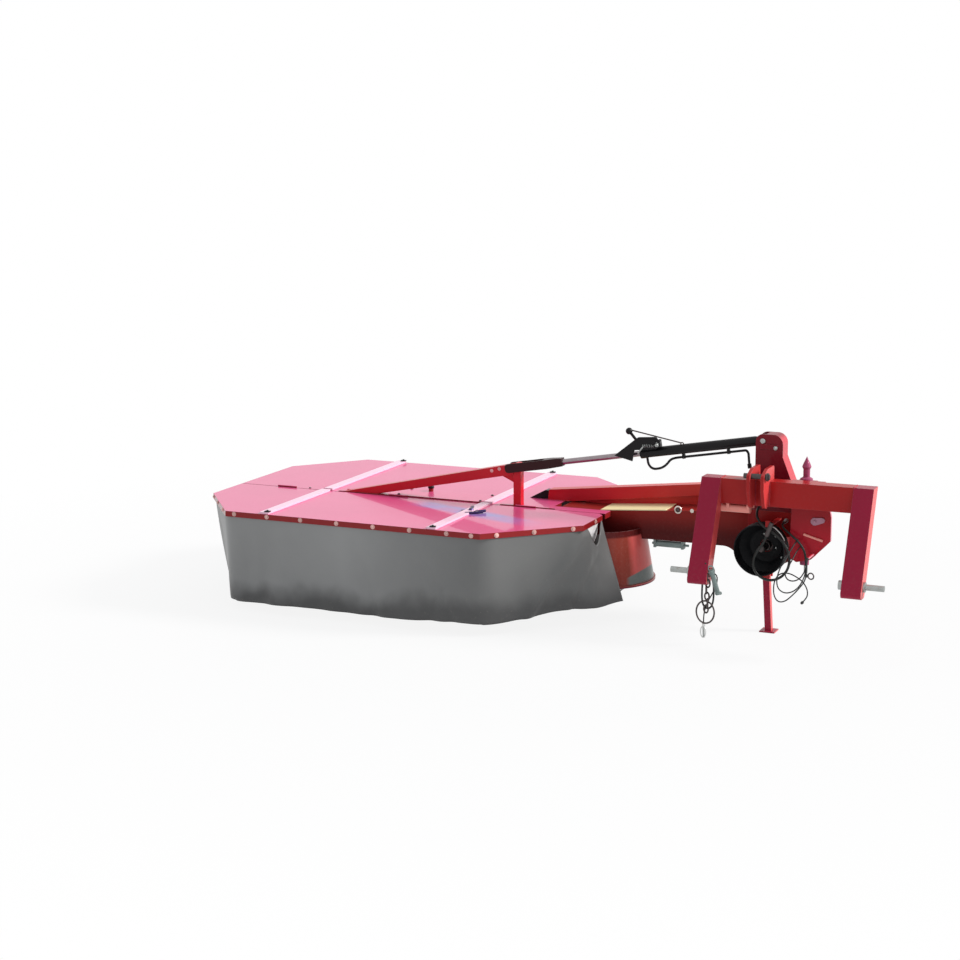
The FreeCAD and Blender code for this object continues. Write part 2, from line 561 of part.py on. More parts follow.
barrel = body("cylinder_barrel")
turn(barrel, [("-gland_at", "rod_radius + fit_gap"), ("-barrel_bore_start", "rod_radius + fit_gap"),
              ("-barrel_bore_start", "0"), ("-barrel_lug_radius + 3", "0"), ("-barrel_lug_radius + 3", "barrel_radius - 4"),
              ("-barrel_lug_radius - 16", "barrel_radius"),
              ("-gland_at + 36", "barrel_radius"), ("-gland_at + 34", "barrel_radius + 2"),
              ("-gland_at", "barrel_radius + 2")], axis="H_Axis")
eye = extrude(barrel, "Pad", ring(sketch_on(barrel, "XZ_Plane", "barrel_lug_wide / 2"), "0", "0", "barrel_lug_radius"),
              "barrel_lug_wide", True)
extrude(barrel, "Pocket", ring(sketch_on(barrel, "XZ_Plane", "barrel_lug_wide"), "0", "0", "link_pin_radius + fit_gap"),
        "2 * barrel_lug_wide")
along_cylinder(barrel)

piston_rod = body("cylinder_rod")
turn(piston_rod, [("-rod_start", "0"), ("-rod_start", "rod_radius"), ("-link_start", "rod_radius"), ("-link_start", "0")],
     axis="H_Axis")
along_cylinder(piston_rod)

EYE = "sqrt((tower_pin_x - post_x) * (tower_pin_x - post_x) + (tower_pin_z - post_pin_z) * (tower_pin_z - post_pin_z))"
fork = body("fork_link")
pad(fork, "XZ_Plane",
    [("-(%s) - link_tail" % EYE, "-link_tall / 2", "18"), ("-link_start - 60", "-link_tall / 2", "20"),
     ("-link_start", "-rod_radius - 6"), ("-link_start", "rod_radius + 6"),
     ("-link_start - 60", "link_tall / 2", "20"), ("-(%s) - link_tail" % EYE, "link_tall / 2", "18")],
    "link_gap + 2 * link_plate", "link_gap / 2 + link_plate", reverse=True)
pocket(fork, "XZ_Plane",
       [("-(%s) - link_tail - 5" % EYE, "-link_tall"), ("-(%s) + link_open" % EYE, "-link_tall"),
        ("-(%s) + link_open" % EYE, "link_tall"), ("-(%s) - link_tail - 5" % EYE, "link_tall")],
       "link_gap", "link_gap / 2")
pocket(fork, "XY_Plane",
       [("-(%s) + link_open + 14" % EYE, "link_gap / 2 + link_plate"), ("-link_start - 30", "rod_radius + 8"),
        ("-link_start + 5", "rod_radius + 8"), ("-link_start + 5", "link_gap / 2 + link_plate")],
       "link_tall", "-link_tall / 2", reverse=True)
pocket(fork, "XY_Plane",
       [("-(%s) + link_open + 14" % EYE, "-link_gap / 2 - link_plate"),
        ("-link_start + 5", "-link_gap / 2 - link_plate"), ("-link_start + 5", "-rod_radius - 8"),
        ("-link_start - 30", "-rod_radius - 8")],
       "link_tall", "-link_tall / 2", reverse=True)
along_cylinder(fork)

hook_plate = DOC.addObject("PartDesign::Body", "HookPlate")
pad(hook_plate, "XZ_Plane",
    [("-gland_at - 124", "10"), ("-gland_at - 55", "-19"), ("-gland_at - 35", "-28"), ("-gland_at - 16", "25", "6"),
     ("-gland_at + 98", "19", "8"), ("-gland_at + 127", "37", "10"), ("-gland_at + 107", "78", "14"),
     ("-gland_at + 14", "87", "24")], "8", "link_gap / 2 + link_plate + 13", reverse=True)
hook = join("transport_hook", hook_plate,
            box("HookSaddle", "-gland_at + 62", "-link_gap / 2 - link_plate - 5", "barrel_radius", "48",
                "link_gap / 2 + link_plate + 17", "34"),
            rod("HookPivot", "11", "30", "-gland_at + 92", "-link_gap / 2 - link_plate - 19", "50", ALONG_Y),
            rod("HookLever", "7", "56", "-gland_at + 2", "-link_gap / 2 - link_plate - 9", "74", (V(0, 1, 0), -32)),
            ball("HookBall", "17", "-gland_at - 28", "-link_gap / 2 - link_plate - 9", "122"),
            rod("HookKnob", "9", "26", "-gland_at + 118", "-link_gap / 2 - link_plate - 22", "56", ALONG_Y))
along_cylinder(hook)

# ---------------------------------------------------------------- guard, drive shaft, parking stand
guard = body("shaft_guard")
turn(guard, [("carrier_front - 6", "32"), ("carrier_front", "32"), ("carrier_front", "hub_radius - 4"),
             ("carrier_front - 6", "hub_radius - 4"), ("carrier_front - 22", "hub_radius + 6"),
             ("carrier_front - 52", "guard_radius"), ("carrier_front - guard_long", "guard_radius"),
             ("carrier_front - guard_long", "guard_radius - guard_wall"),
             ("carrier_front - 50", "guard_radius - guard_wall"), ("carrier_front - 26", "hub_radius - 4"),
             ("carrier_front - 12", "hub_radius - 18"), ("carrier_front - 6", "60")],
     role="YZ_Plane", axis="H_Axis")
place(guard, "pivot_x", "0", "pivot_z")

drive = body("drive_shaft")
turn(drive, [("carrier_back - 10", "0"), ("carrier_back - 10", "30 - fit_gap"), ("carrier_front + 20", "30 - fit_gap"),
             ("carrier_front + 20", "drive_shaft_radius + 4"), ("carrier_front - 20", "drive_shaft_radius + 4"),
             ("carrier_front - 20", "drive_shaft_radius"), ("carrier_front - 96", "drive_shaft_radius"),
             ("carrier_front - 100", "drive_shaft_radius - 4"), ("carrier_front - 100", "0")],
     role="YZ_Plane", axis="H_Axis")
place(drive, "pivot_x", "0", "pivot_z")

stand = body("parking_stand")
pad(stand, "XZ_Plane",
    [("stand_x + stand_lean - stand_size / 2", "6"), ("stand_x + stand_lean + stand_size / 2", "6"),
     ("stand_x + stand_size / 2", "stand_hinge_z + stand_size / 2", "stand_size / 2 - 2"),
     ("stand_x - stand_size / 2", "stand_hinge_z + stand_size / 2", "stand_size / 2 - 2")],
    "stand_size", "-(stand_y - stand_size / 2)", reverse=True)
pad(stand, "XY_Plane",
    [("stand_x + stand_lean - stand_foot / 2", "stand_y - stand_foot / 2"),
     ("stand_x + stand_lean + stand_foot / 2", "stand_y - stand_foot / 2"),
     ("stand_x + stand_lean + stand_foot / 2", "stand_y + stand_foot / 2"),
     ("stand_x + stand_lean - stand_foot / 2", "stand_y + stand_foot / 2")],
    "6")
extrude(stand, "Pocket", ring(sketch_on(stand, "XZ_Plane", "-(stand_y - stand_size)"), "stand_x", "stand_hinge_z",
                              "8 + fit_gap"), "2 * stand_size")

# ---------------------------------------------------------------- headstock
LEG_INNER = "beam_span / 2 - leg_wide"
box_beam = box("headstock_beam", "beam_mid_x - (%s)" % LEG_INNER, "beam_front", "beam_top - beam_tall",
               "2 * (%s)" % LEG_INNER, "beam_deep", "beam_tall")
piece(box_beam, "headstock_beam")
for name, at in (("left", "beam_mid_x - beam_span / 2"), ("right", "beam_mid_x + %s" % LEG_INNER)):
    leg = body("headstock_leg_" + name)
    pad(leg, "YZ_Plane",
        [("beam_front - leg_lean", "leg_bottom", "24"), ("beam_front - leg_lean + beam_deep + 4", "leg_bottom", "24"),
         ("beam_front + beam_deep", "beam_top"), ("beam_front", "beam_top")], "leg_wide", at)

for name, way, at in (("left", -1, "beam_mid_x - beam_span / 2"), ("right", 1, "beam_mid_x + beam_span / 2")):
    inner = "%s %s leg_wide" % (at, "+" if way < 0 else "-")
    low = at if way > 0 else at + " - hitch_pin_long"
    collar_low = at if way > 0 else at + " - 10"
    nut_low = inner if way < 0 else inner + " - 20"
    group("hitch_pin_" + name,
          weld("HitchPinBody",
               rod("HitchPin", "hitch_pin_radius", "hitch_pin_long", low, "hitch_pin_y", "hitch_pin_z", ALONG_X),
               rod("HitchCollar", "hitch_pin_radius + 10", "10", collar_low, "hitch_pin_y", "hitch_pin_z", ALONG_X)),
          rod("HitchNut", "22", "20", nut_low, "hitch_pin_y", "hitch_pin_z", ALONG_X))

TOP_LINK_Z = "hitch_pin_z + top_link_rise"
lugs = []
for side in (-1, 1):
    lug = DOC.addObject("PartDesign::Body", "TopLinkLug")
    pad(lug, "YZ_Plane",
        [("beam_front - 66", "beam_top - beam_tall - 8", "30"), ("beam_front", "beam_top - beam_tall + 14"),
         ("beam_front", "beam_top"), ("beam_front + beam_deep - 6", "beam_top"),
         ("beam_front + beam_deep - 6", "beam_top + 66", "14"), ("top_link_y + 34", "beam_top + 66", "20"),
         ("top_link_y - 30", TOP_LINK_Z + " + 6", "18"), ("top_link_y - 30", "beam_top - 30", "20")],
        "lug_thick", "top_link_x + (%d) * (top_link_gap / 2 + lug_thick / 2) - lug_thick / 2" % side)
    extrude(lug, "Pocket", ring(sketch_on(lug, "YZ_Plane", "top_link_x + 200"), "top_link_y", TOP_LINK_Z,
                                "top_pin_radius + fit_gap"), "400")
    lugs.append(lug)
group("top_link_lugs", *lugs)
join("top_link_pin",
     rod("TopPin", "top_pin_radius", "top_link_gap + 2 * lug_thick + 40", "top_link_x - top_link_gap / 2 - lug_thick - 20",
         "top_link_y", TOP_LINK_Z, ALONG_X),
     rod("TopPinHead", "top_pin_radius + 7", "8", "top_link_x + top_link_gap / 2 + lug_thick + 6", "top_link_y", TOP_LINK_Z,
         ALONG_X))

PLATE_BACK = "beam_front + beam_deep + 17"
bracket_plate = DOC.addObject("PartDesign::Body", "BracketPlate")
pad(bracket_plate, "XZ_Plane",
    [("swing_x - 64", "knuckle_bottom - 14", "12"), ("swing_x - 25", "knuckle_bottom - 39", "12"),
     ("swing_x + 45", "knuckle_bottom - 21", "20"), ("swing_x + 113", "knuckle_bottom + 48"),
     ("swing_x + 138", "knuckle_bottom + 75"), ("swing_x + 138", "knuckle_bottom + 190"),
     ("swing_x + 105", "beam_top"), ("swing_x - 50", "beam_top"), ("swing_x - 56", "knuckle_bottom + 110")],
    "17", "-(beam_front + beam_deep)", reverse=True)
bracket_block = weld("BracketBlock", bracket_plate,
                     box("EarTop", "swing_x - 45", PLATE_BACK, "knuckle_top + 1", "90", "85", "ear_thick"),
                     rod("RopePeg", "6", "100", "1392", "-330", "432", ALONG_Y),
                     box("EarBottom", "swing_x - 45", PLATE_BACK, "knuckle_bottom - 1 - ear_thick", "90", "85", "ear_thick"))
bracket = DOC.addObject("Part::Cut", "pivot_bracket")
bracket.Base = bracket_block
bracket.Tool = rod("EarBore", "swing_pin_radius + fit_gap", "600", "swing_x", "swing_y", "300")
piece(bracket, "pivot_bracket")

pivot_pin = body("pivot_pin")
turn(pivot_pin, [("0", "knuckle_bottom - 60"), ("swing_pin_radius", "knuckle_bottom - 60"),
                 ("swing_pin_radius", "knuckle_top + ear_thick + 1"), ("swing_pin_radius + 8", "knuckle_top + ear_thick + 1"),
                 ("swing_pin_radius + 8", "knuckle_top + ear_thick + 16"), ("16", "knuckle_top + ear_thick + 24"),
                 ("16", "knuckle_top + ear_thick + 60"), ("22", "knuckle_top + ear_thick + 72"),
                 ("16", "knuckle_top + ear_thick + 88"), ("0", "knuckle_top + ear_thick + 122")])
place(pivot_pin, "swing_x", "swing_y")

LATCH_LEFT = "beam_mid_x - beam_span / 2 + leg_wide + fit_gap"
LATCH_Z = "beam_top - beam_tall - 26"
join("latch_bar",
     rod("LatchRod", "18", "141", LATCH_LEFT, "beam_front + 24", LATCH_Z, ALONG_X),
     box("LatchEar", LATCH_LEFT + " + 28", "beam_front + 4", LATCH_Z + " + 2", "14", "24", "24"),
     box("LatchEarRight", LATCH_LEFT + " + 127", "beam_front + 4", LATCH_Z + " + 2", "14", "24", "24"))

piece(rod("StandPin", "8", "stand_size + 30", "stand_x", "stand_y - stand_size / 2 - 15", "stand_hinge_z", ALONG_Y),
      "stand_pin")

# ---------------------------------------------------------------- hoses and ropes
def cord(label, diameter, points):
    """A round cord of straight runs that are joined by tangent arcs."""
    corners = [V(*p) for p in points]
    edges, start, radii = [], corners[0], []
    for back, here, ahead in zip(corners, corners[1:], corners[2:]):
        to_back, to_next = (back - here), (ahead - here)
        cut = 0.45 * min(to_back.Length, to_next.Length)
        a, b = here + to_back.normalize() * cut, here + to_next.normalize() * cut
        half_turn = (math.pi - to_back.getAngle(to_next)) / 2
        radius = cut / math.tan(half_turn)
        radii.append(radius)
        middle = (to_back + to_next).normalize()
        centre = here + middle * (radius / math.cos(half_turn))
        edges += [Part.LineSegment(start, a).toShape(), Part.Arc(a, centre - middle * radius, b).toShape()]
        start = b
    edges.append(Part.LineSegment(start, corners[-1]).toShape())
    path = Part.Wire(edges)
    section = Part.Wire(Part.Circle(corners[0], corners[1] - corners[0], diameter / 2.0).toShape())
    obj = DOC.addObject("Part::Feature", label)
    obj.Shape = path.makePipeShell([section], True, True)
    print("%-14s length %6.1f mm, smallest bend %5.1f mm, volume against section x length %.4f"
          % (label, path.Length, min(radii), obj.Shape.Volume / (math.pi * diameter ** 2 / 4 * path.Length)))
    return piece(obj, label)


def pipe(points, radius):
    """A bent steel pipe of straight runs and tangent bends, drawn in the cylinder's own frame."""
    corners = [V(*p) for p in points]
    edges, start = [], corners[0]
    for back, here, ahead in zip(corners, corners[1:], corners[2:]):
        to_back, to_next = (back - here), (ahead - here)
        cut = min(26.0, 0.46 * min(to_back.Length, to_next.Length))
        a, b = here + to_back.normalize() * cut, here + to_next.normalize() * cut
        half_turn = (math.pi - to_back.getAngle(to_next)) / 2
        bend = cut / math.tan(half_turn)
        middle = (to_back + to_next).normalize()
        centre = here + middle * (bend / math.cos(half_turn))
        edges += [Part.LineSegment(start, a).toShape(), Part.Arc(a, centre - middle * bend, b).toShape()]
        start = b
    edges.append(Part.LineSegment(start, corners[-1]).toShape())
    obj = DOC.addObject("Part::Feature", "PipeRun")
    section = Part.Wire(Part.Circle(corners[0], corners[1] - corners[0], radius).toShape())
    obj.Shape = Part.Wire(edges).makePipeShell([section], True, True)
    return obj


# hydraulic pipe: from its port by the gland, in a loop, along the underside and down at the eye
PORT_X = -number("gland_at") + 28
UNDER = -number("barrel_radius")
cylinder_pipe = join("cylinder_pipe",
                     pipe([(PORT_X, 0, UNDER - 2.3), (PORT_X, 0, UNDER - 30), (PORT_X + 10, 0, UNDER - 50),
                           (PORT_X + 28, 0, UNDER - 60), (PORT_X + 64, 0, UNDER - 59), (PORT_X + 92, 0, UNDER - 46),
                           (PORT_X + 120, 0, UNDER - 20), (PORT_X + 150, 0, UNDER - 15.5), (-96, 0, UNDER - 15.5),
                           (-88, 0, UNDER - 30), (-92, 0, UNDER - 82)], 6),
                     box("PipeClampLeft", "-gland_at + 210", "-7", "-barrel_radius - 24", "14", "14", "24 - fit_gap"),
                     box("PipeClampRight", "-gland_at + 440", "-7", "-barrel_radius - 24", "14", "14", "24 - fit_gap"),
                     rod("PipeNut", "10", "22", "-92", "0", "-barrel_radius - 104"))
along_cylinder(cylinder_pipe)


def tip(label, radius, length, points):
    """A round fitting that carries on from a cord's last run."""
    end = V(*points[-1])
    return piece(rod(label, radius, length, *[str(v) for v in end],
                     turned=(V(0, 0, 1), end - V(*points[-2]))), label)


SUPPLY = [(1115, -124, 634), (1115, -180, 634), (1118, -238, 628), (1130, -288, 600), (1168, -318, 566),
          (1222, -319, 538), (1272, -320, 498), (1303, -322, 440), (1302, -324, 376), (1264, -327, 324),
          (1202, -331, 306), (1144, -335, 336), (1128, -339, 396), (1150, -342, 450), (1182, -344, 488),
          (1196, -344, 526)]
cord("supply_hose", 12.6, SUPPLY)
tip("hose_coupler", "11", "70", SUPPLY)
RETURN = [(1230, -124, 560), (1230, -170, 560), (1233, -216, 558), (1254, -256, 547), (1302, -272, 520),
          (1346, -271, 480), (1368, -270, 430), (1368, -270, 384)]
cord("return_hose", 10.6, RETURN)
tip("return_plug", "9", "38", RETURN)

ROPE = [(1392, -330, 432), (1392, -344, 432), (1393, -350, 408), (1394, -350, 370), (1386, -349, 326),
        (1358, -348, 288), (1325, -347, 250), (1292, -347, 219), (1258, -347, 214), (1238, -347, 244),
        (1236, -348, 288), (1244, -349, 326), (1268, -350, 355), (1308, -350, 360), (1348, -350, 344),
        (1382, -349, 320), (1402, -349, 282), (1398, -348, 246), (1374, -347, 222)]
cord("control_rope", 6, ROPE)

TETHER = [(978, -462, 350), (990, -462, 350), (998, -463, 328), (992, -464, 290), (972, -465, 250),
          (952, -466, 212), (938, -466, 172), (933, -466, 130), (934, -466, 92)]
cord("tether_rope", 6, TETHER)
tip("tether_pin", "5", "55", TETHER)

# ---------------------------------------------------------------- build, check and write
DOC.recompute()
for obj in DOC.Objects:
    if "Invalid" in obj.State or "Error" in obj.State:
        raise RuntimeError("%s failed: %s" % (obj.Label, obj.State))
os.makedirs("parts", exist_ok=True)
for obj in PIECES:
    shape = obj.Shape
    if shape.isNull() or not shape.isValid():
        raise RuntimeError("%s has no valid shape" % obj.Label)
for obj in PIECES:
    obj.Shape.exportStep("parts/%s.step" % obj.Label)
    low, high = obj.Shape.BoundBox, obj.Shape.Volume
    print("%-22s %2d solids  %8.3f dm3  X %6.0f..%-6.0f Y %5.0f..%-5.0f Z %4.0f..%-4.0f"
          % (obj.Label, len(obj.Shape.Solids), high / 1e6, low.XMin, low.XMax, low.YMin, low.YMax, low.ZMin, low.ZMax))
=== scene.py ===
"""Drum mower: materials, curtains, hoses, ropes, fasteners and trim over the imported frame."""
import math
import random

import bmesh
import bpy
from mathutils import Matrix, Vector, noise


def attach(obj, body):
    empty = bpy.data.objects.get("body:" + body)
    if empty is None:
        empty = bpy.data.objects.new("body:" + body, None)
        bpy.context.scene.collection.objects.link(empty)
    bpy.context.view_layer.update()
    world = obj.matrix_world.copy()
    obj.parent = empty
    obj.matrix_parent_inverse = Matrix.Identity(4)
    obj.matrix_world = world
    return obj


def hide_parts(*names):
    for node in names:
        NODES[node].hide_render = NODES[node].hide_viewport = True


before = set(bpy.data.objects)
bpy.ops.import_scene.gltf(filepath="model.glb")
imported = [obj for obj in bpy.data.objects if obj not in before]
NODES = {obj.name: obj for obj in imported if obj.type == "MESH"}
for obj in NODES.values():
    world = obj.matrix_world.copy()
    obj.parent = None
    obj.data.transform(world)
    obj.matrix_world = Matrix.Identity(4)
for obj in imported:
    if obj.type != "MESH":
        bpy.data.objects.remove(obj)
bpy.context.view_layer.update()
random.seed(4)

# ---------------------------------------------------------------- camera, light, floor
scene = bpy.context.scene
scene.view_settings.view_transform = "Standard"
scene.view_settings.look = "None"

AZ, EL, ROLL = math.radians(24.281), math.radians(10.895), math.radians(-0.327)
CAMERA_AT = (3.741, -9.248, 2.565)
cam_data = bpy.data.cameras.new("Camera")
cam_data.lens, cam_data.sensor_width, cam_data.clip_end = 75.06, 36.0, 60.0
camera = bpy.data.objects.new("Camera", cam_data)
scene.collection.objects.link(camera)
forward = Vector((-math.sin(AZ) * math.cos(EL), math.cos(AZ) * math.cos(EL), -math.sin(EL)))
side = Vector((math.cos(AZ), math.sin(AZ), 0))
up = side.cross(forward)
right = math.cos(ROLL) * side + math.sin(ROLL) * up
up = -math.sin(ROLL) * side + math.cos(ROLL) * up
camera_turn = Matrix((right, up, -forward)).transposed().to_4x4()
camera.matrix_world = Matrix.Translation(CAMERA_AT) @ camera_turn
scene.camera = camera


def sun_light(name, towards, strength, angle, colour):
    data = bpy.data.lights.new(name, "SUN")
    data.energy, data.angle, data.color = strength, math.radians(angle), colour
    lamp = bpy.data.objects.new(name, data)
    lamp.rotation_euler = Vector(towards).to_track_quat("-Z", "Y").to_euler()
    scene.collection.objects.link(lamp)


def link(tree, a, b):
    tree.links.new(a, b)


def seen_directly(tree):
    """1 for rays from the camera, in a reflection or through glass; 0 for the rays that light the object."""
    rays = tree.nodes.new("ShaderNodeLightPath")
    seen = rays.outputs["Is Camera Ray"]
    for kind in ("Is Glossy Ray", "Is Transmission Ray"):
        either = tree.nodes.new("ShaderNodeMath")
        either.operation = "MAXIMUM"
        link(tree, seen, either.inputs[0])
        link(tree, rays.outputs[kind], either.inputs[1])
        seen = either.outputs[0]
    return seen


sun_light("SunRight", towards=(-0.80, -0.25, -0.50), strength=3.8, angle=16.0, colour=(1.0, 0.98, 0.96))

world = bpy.data.worlds.new("World")
scene.world = world
world.use_nodes = True
sky = world.node_tree
sky.nodes.clear()
backdrop = sky.nodes.new("ShaderNodeMixShader")
link(sky, seen_directly(sky), backdrop.inputs[0])
for socket, colour, strength in ((1, (0.92, 0.95, 1.0), 0.60), (2, (1.0, 1.0, 1.0), 1.0)):
    background = sky.nodes.new("ShaderNodeBackground")
    background.inputs["Color"].default_value = (*colour, 1)
    background.inputs["Strength"].default_value = strength
    link(sky, background.outputs[0], backdrop.inputs[socket])
link(sky, backdrop.outputs[0], sky.nodes.new("ShaderNodeOutputWorld").inputs[0])


# ---------------------------------------------------------------- materials
def nodes_of(name):
    mat = bpy.data.materials.new(name)
    mat.use_nodes = True
    tree = mat.node_tree
    return mat, tree, tree.nodes["Principled BSDF"]


def grey(level):
    return (level, level, level)


def noise_tex(tree, coords, scale, detail=4.0, rough=0.55, stretch=(1, 1, 1)):
    mapping = tree.nodes.new("ShaderNodeMapping")
    mapping.inputs["Scale"].default_value = stretch
    link(tree, coords, mapping.inputs["Vector"])
    tex = tree.nodes.new("ShaderNodeTexNoise")
    tex.inputs["Scale"].default_value = scale
    tex.inputs["Detail"].default_value = detail
    tex.inputs["Roughness"].default_value = rough
    link(tree, mapping.outputs["Vector"], tex.inputs["Vector"])
    return tex.outputs["Fac"]


def ramp(tree, fac, stops):
    node = tree.nodes.new("ShaderNodeValToRGB")
    while len(node.color_ramp.elements) < len(stops):
        node.color_ramp.elements.new(0.5)
    for element, (at, colour) in zip(node.color_ramp.elements, stops):
        element.position = at
        element.color = (*colour, 1)
    link(tree, fac, node.inputs["Fac"])
    return node.outputs["Color"]


def mix_colour(tree, fac, a, b, kind="MIX"):
    node = tree.nodes.new("ShaderNodeMix")
    node.data_type, node.blend_type = "RGBA", kind
    if isinstance(fac, float):
        node.inputs["Factor"].default_value = fac
    else:
        link(tree, fac, node.inputs["Factor"])
    for socket, value in ((node.inputs[6], a), (node.inputs[7], b)):
        if isinstance(value, tuple):
            socket.default_value = (*value, 1)
        else:
            link(tree, value, socket)
    return node.outputs[2]


def map_range(tree, value, start=0.0, end=1.0, low=0.0, high=1.0, soft=False):
    """Value from start..end turned into low..high, with soft ends if asked."""
    node = tree.nodes.new("ShaderNodeMapRange")
    if soft:
        node.interpolation_type = "SMOOTHSTEP"
    for label, number in (("From Min", start), ("From Max", end), ("To Min", low), ("To Max", high)):
        node.inputs[label].default_value = number
    link(tree, value, node.inputs["Value"])
    return node.outputs["Result"]


def part_of(tree, vector, axis):
    split = tree.nodes.new("ShaderNodeSeparateXYZ")
    link(tree, vector, split.inputs[0])
    return split.outputs[axis]


def bump(tree, shader, height, strength, distance, normal=None):
    node = tree.nodes.new("ShaderNodeBump")
    if normal:
        link(tree, normal, node.inputs["Normal"])
    node.inputs["Strength"].default_value = strength
    node.inputs["Distance"].default_value = distance
    link(tree, height, node.inputs["Height"])
    link(tree, node.outputs["Normal"], shader.inputs["Normal"])


def axis_mask(tree, coords, axis, start, end):
    """0 at start and 1 at end along one axis of the object, in metres."""
    return map_range(tree, part_of(tree, coords, axis), start, end, soft=True)


def band(tree, coords, axis, rise, fall):
    """1 between two soft edges along one axis of the object."""
    return times(tree, axis_mask(tree, coords, axis, *rise), axis_mask(tree, coords, axis, *fall))


def turned_coords(tree, coords, at, turn):
    """Coordinates measured from a point, along axes turned by angles in degrees."""
    node = tree.nodes.new("ShaderNodeMapping")
    node.vector_type = "TEXTURE"
    node.inputs["Location"].default_value = at
    node.inputs["Rotation"].default_value = [math.radians(angle) for angle in turn]
    link(tree, coords, node.inputs["Vector"])
    return node.outputs[0]


def times(tree, a, b):
    node = tree.nodes.new("ShaderNodeMath")
    node.operation = "MULTIPLY"
    for socket, value in zip(node.inputs, (a, b)):
        if isinstance(value, float):
            socket.default_value = value
        else:
            link(tree, value, socket)
    return node.outputs[0]


def edge_normal(tree, radius):
    """The shading normal of slightly rounded edges."""
    node = tree.nodes.new("ShaderNodeBevel")
    node.samples = 4
    node.inputs["Radius"].default_value = radius
    return node.outputs["Normal"]


def edge_mask(tree, rounded):
    """1 on sharp edges, 0 on flat faces."""
    geo = tree.nodes.new("ShaderNodeNewGeometry")
    dot = tree.nodes.new("ShaderNodeVectorMath")
    dot.operation = "DOT_PRODUCT"
    link(tree, rounded, dot.inputs[0])
    link(tree, geo.outputs["Normal"], dot.inputs[1])
    return map_range(tree, dot.outputs["Value"], 0.985, 0.80)


def facing_mask(tree, axis, start, end):
    """1 on faces whose normal points along an axis of the piece, 0 on the others; it moves with the piece."""
    normal = tree.nodes.new("ShaderNodeTexCoord").outputs["Normal"]
    return map_range(tree, part_of(tree, normal, axis), start, end)


def paint(name, base, rough=0.36, coat=0.35, coat_rough=0.12, drift=0.10, dust=(0.42, 0.30, 0.26),
          dust_amount=0.015, peel=0.03, shade=None, upright=None, painted_sun=None, painted_sun_from=(0.45, 0.85),
          wear_and_highlight=0.55, extra=None):
    """Sprayed enamel: slow colour drift, fine dust that thickens low down, orange peel, and edges lightened
    both where rubbed and as a painted highlight.

    shade is (axis, start, end, colour) for painted shade: a tone that changes along the piece. upright is
    the tone of upright faces; on the deck it is painted shade, darker than the tops. sunny is painted
    sunlight: a lighter tone for the faces towards +X, set from how bright they look; it stands in for sun
    from the right and isn't a change of paint. painted_sun_from is how squarely a face has to point that way
    for none and all of it. wear is how far the edges are lightened."""
    mat, tree, bsdf = nodes_of(name)
    coords = tree.nodes.new("ShaderNodeTexCoord").outputs["Object"]
    slow = noise_tex(tree, coords, 2.6, 3)
    fine = noise_tex(tree, coords, 70, 4, 0.6)
    colour = base
    # painted shade: a tone that changes along the piece
    if shade:
        colour = mix_colour(tree, axis_mask(tree, coords, *shade[:3]), base, shade[3])
    # upright faces in their own tone; on the deck this is painted shade, darker than the tops
    if upright:
        colour = mix_colour(tree, facing_mask(tree, "Z", 0.35, 0.75), upright, colour)
    # painted sunlight: a lighter tone on the faces towards +X
    if painted_sun:
        colour = mix_colour(tree, facing_mask(tree, "X", *painted_sun_from), colour, painted_sun)
    if extra:
        colour = extra(tree, coords, colour)
    tone = ramp(tree, slow, [(0.3, grey(1 - drift)), (0.7, grey(1))])
    colour = mix_colour(tree, 1.0, colour, tone, "MULTIPLY")
    low = axis_mask(tree, coords, "Z", 0.55, 0.05)
    specks = ramp(tree, fine, [(0.50, grey(0)), (0.66, grey(1))])
    specks = times(tree, specks, map_range(tree, low, low=dust_amount, high=dust_amount * 5))
    colour = mix_colour(tree, specks, colour, dust)
    rounded = edge_normal(tree, 0.004)
    # edges lightened: partly rubbed paint, partly a painted highlight
    worn_and_highlit = ramp(tree, fine, [(0.38, grey(wear_and_highlight * 0.25)), (0.60, grey(wear_and_highlight))])
    worn_and_highlit = times(tree, edge_mask(tree, rounded), worn_and_highlit)
    colour = mix_colour(tree, worn_and_highlit, colour, tuple(min(1, 0.75 * c + 0.18) for c in base))
    link(tree, colour, bsdf.inputs["Base Color"])
    link(tree, map_range(tree, fine, low=rough * 0.85, high=rough * 1.2), bsdf.inputs["Roughness"])
    bsdf.inputs["Specular IOR Level"].default_value = 0.12
    bsdf.inputs["Coat Weight"].default_value = coat
    bsdf.inputs["Coat IOR"].default_value = 1.3
    bsdf.inputs["Coat Roughness"].default_value = coat_rough
    bump(tree, bsdf, noise_tex(tree, coords, 190, 2), peel, 0.002, rounded)
    return mat


def steel(name, base, rough=0.35, spots=(0.22, 0.12, 0.07), spot_amount=0.25, scale=30, stretch=(1, 1, 1)):
    """Plated or bare metal with a brushed tone and a few rusty spots."""
    mat, tree, bsdf = nodes_of(name)
    coords = tree.nodes.new("ShaderNodeTexCoord").outputs["Object"]
    tone = noise_tex(tree, coords, scale, 5, 0.6, stretch)
    colour = ramp(tree, tone, [(0.3, tuple(c * 0.8 for c in base)), (0.7, base)])
    rust = ramp(tree, noise_tex(tree, coords, 22, 6, 0.65), [(0.60, grey(0)), (0.70, grey(spot_amount))])
    link(tree, mix_colour(tree, rust, colour, spots), bsdf.inputs["Base Color"])
    bsdf.inputs["Metallic"].default_value = 1.0
    link(tree, map_range(tree, tone, low=rough * 0.75, high=rough * 1.3), bsdf.inputs["Roughness"])
    bump(tree, bsdf, tone, 0.06, 0.001)
    return mat


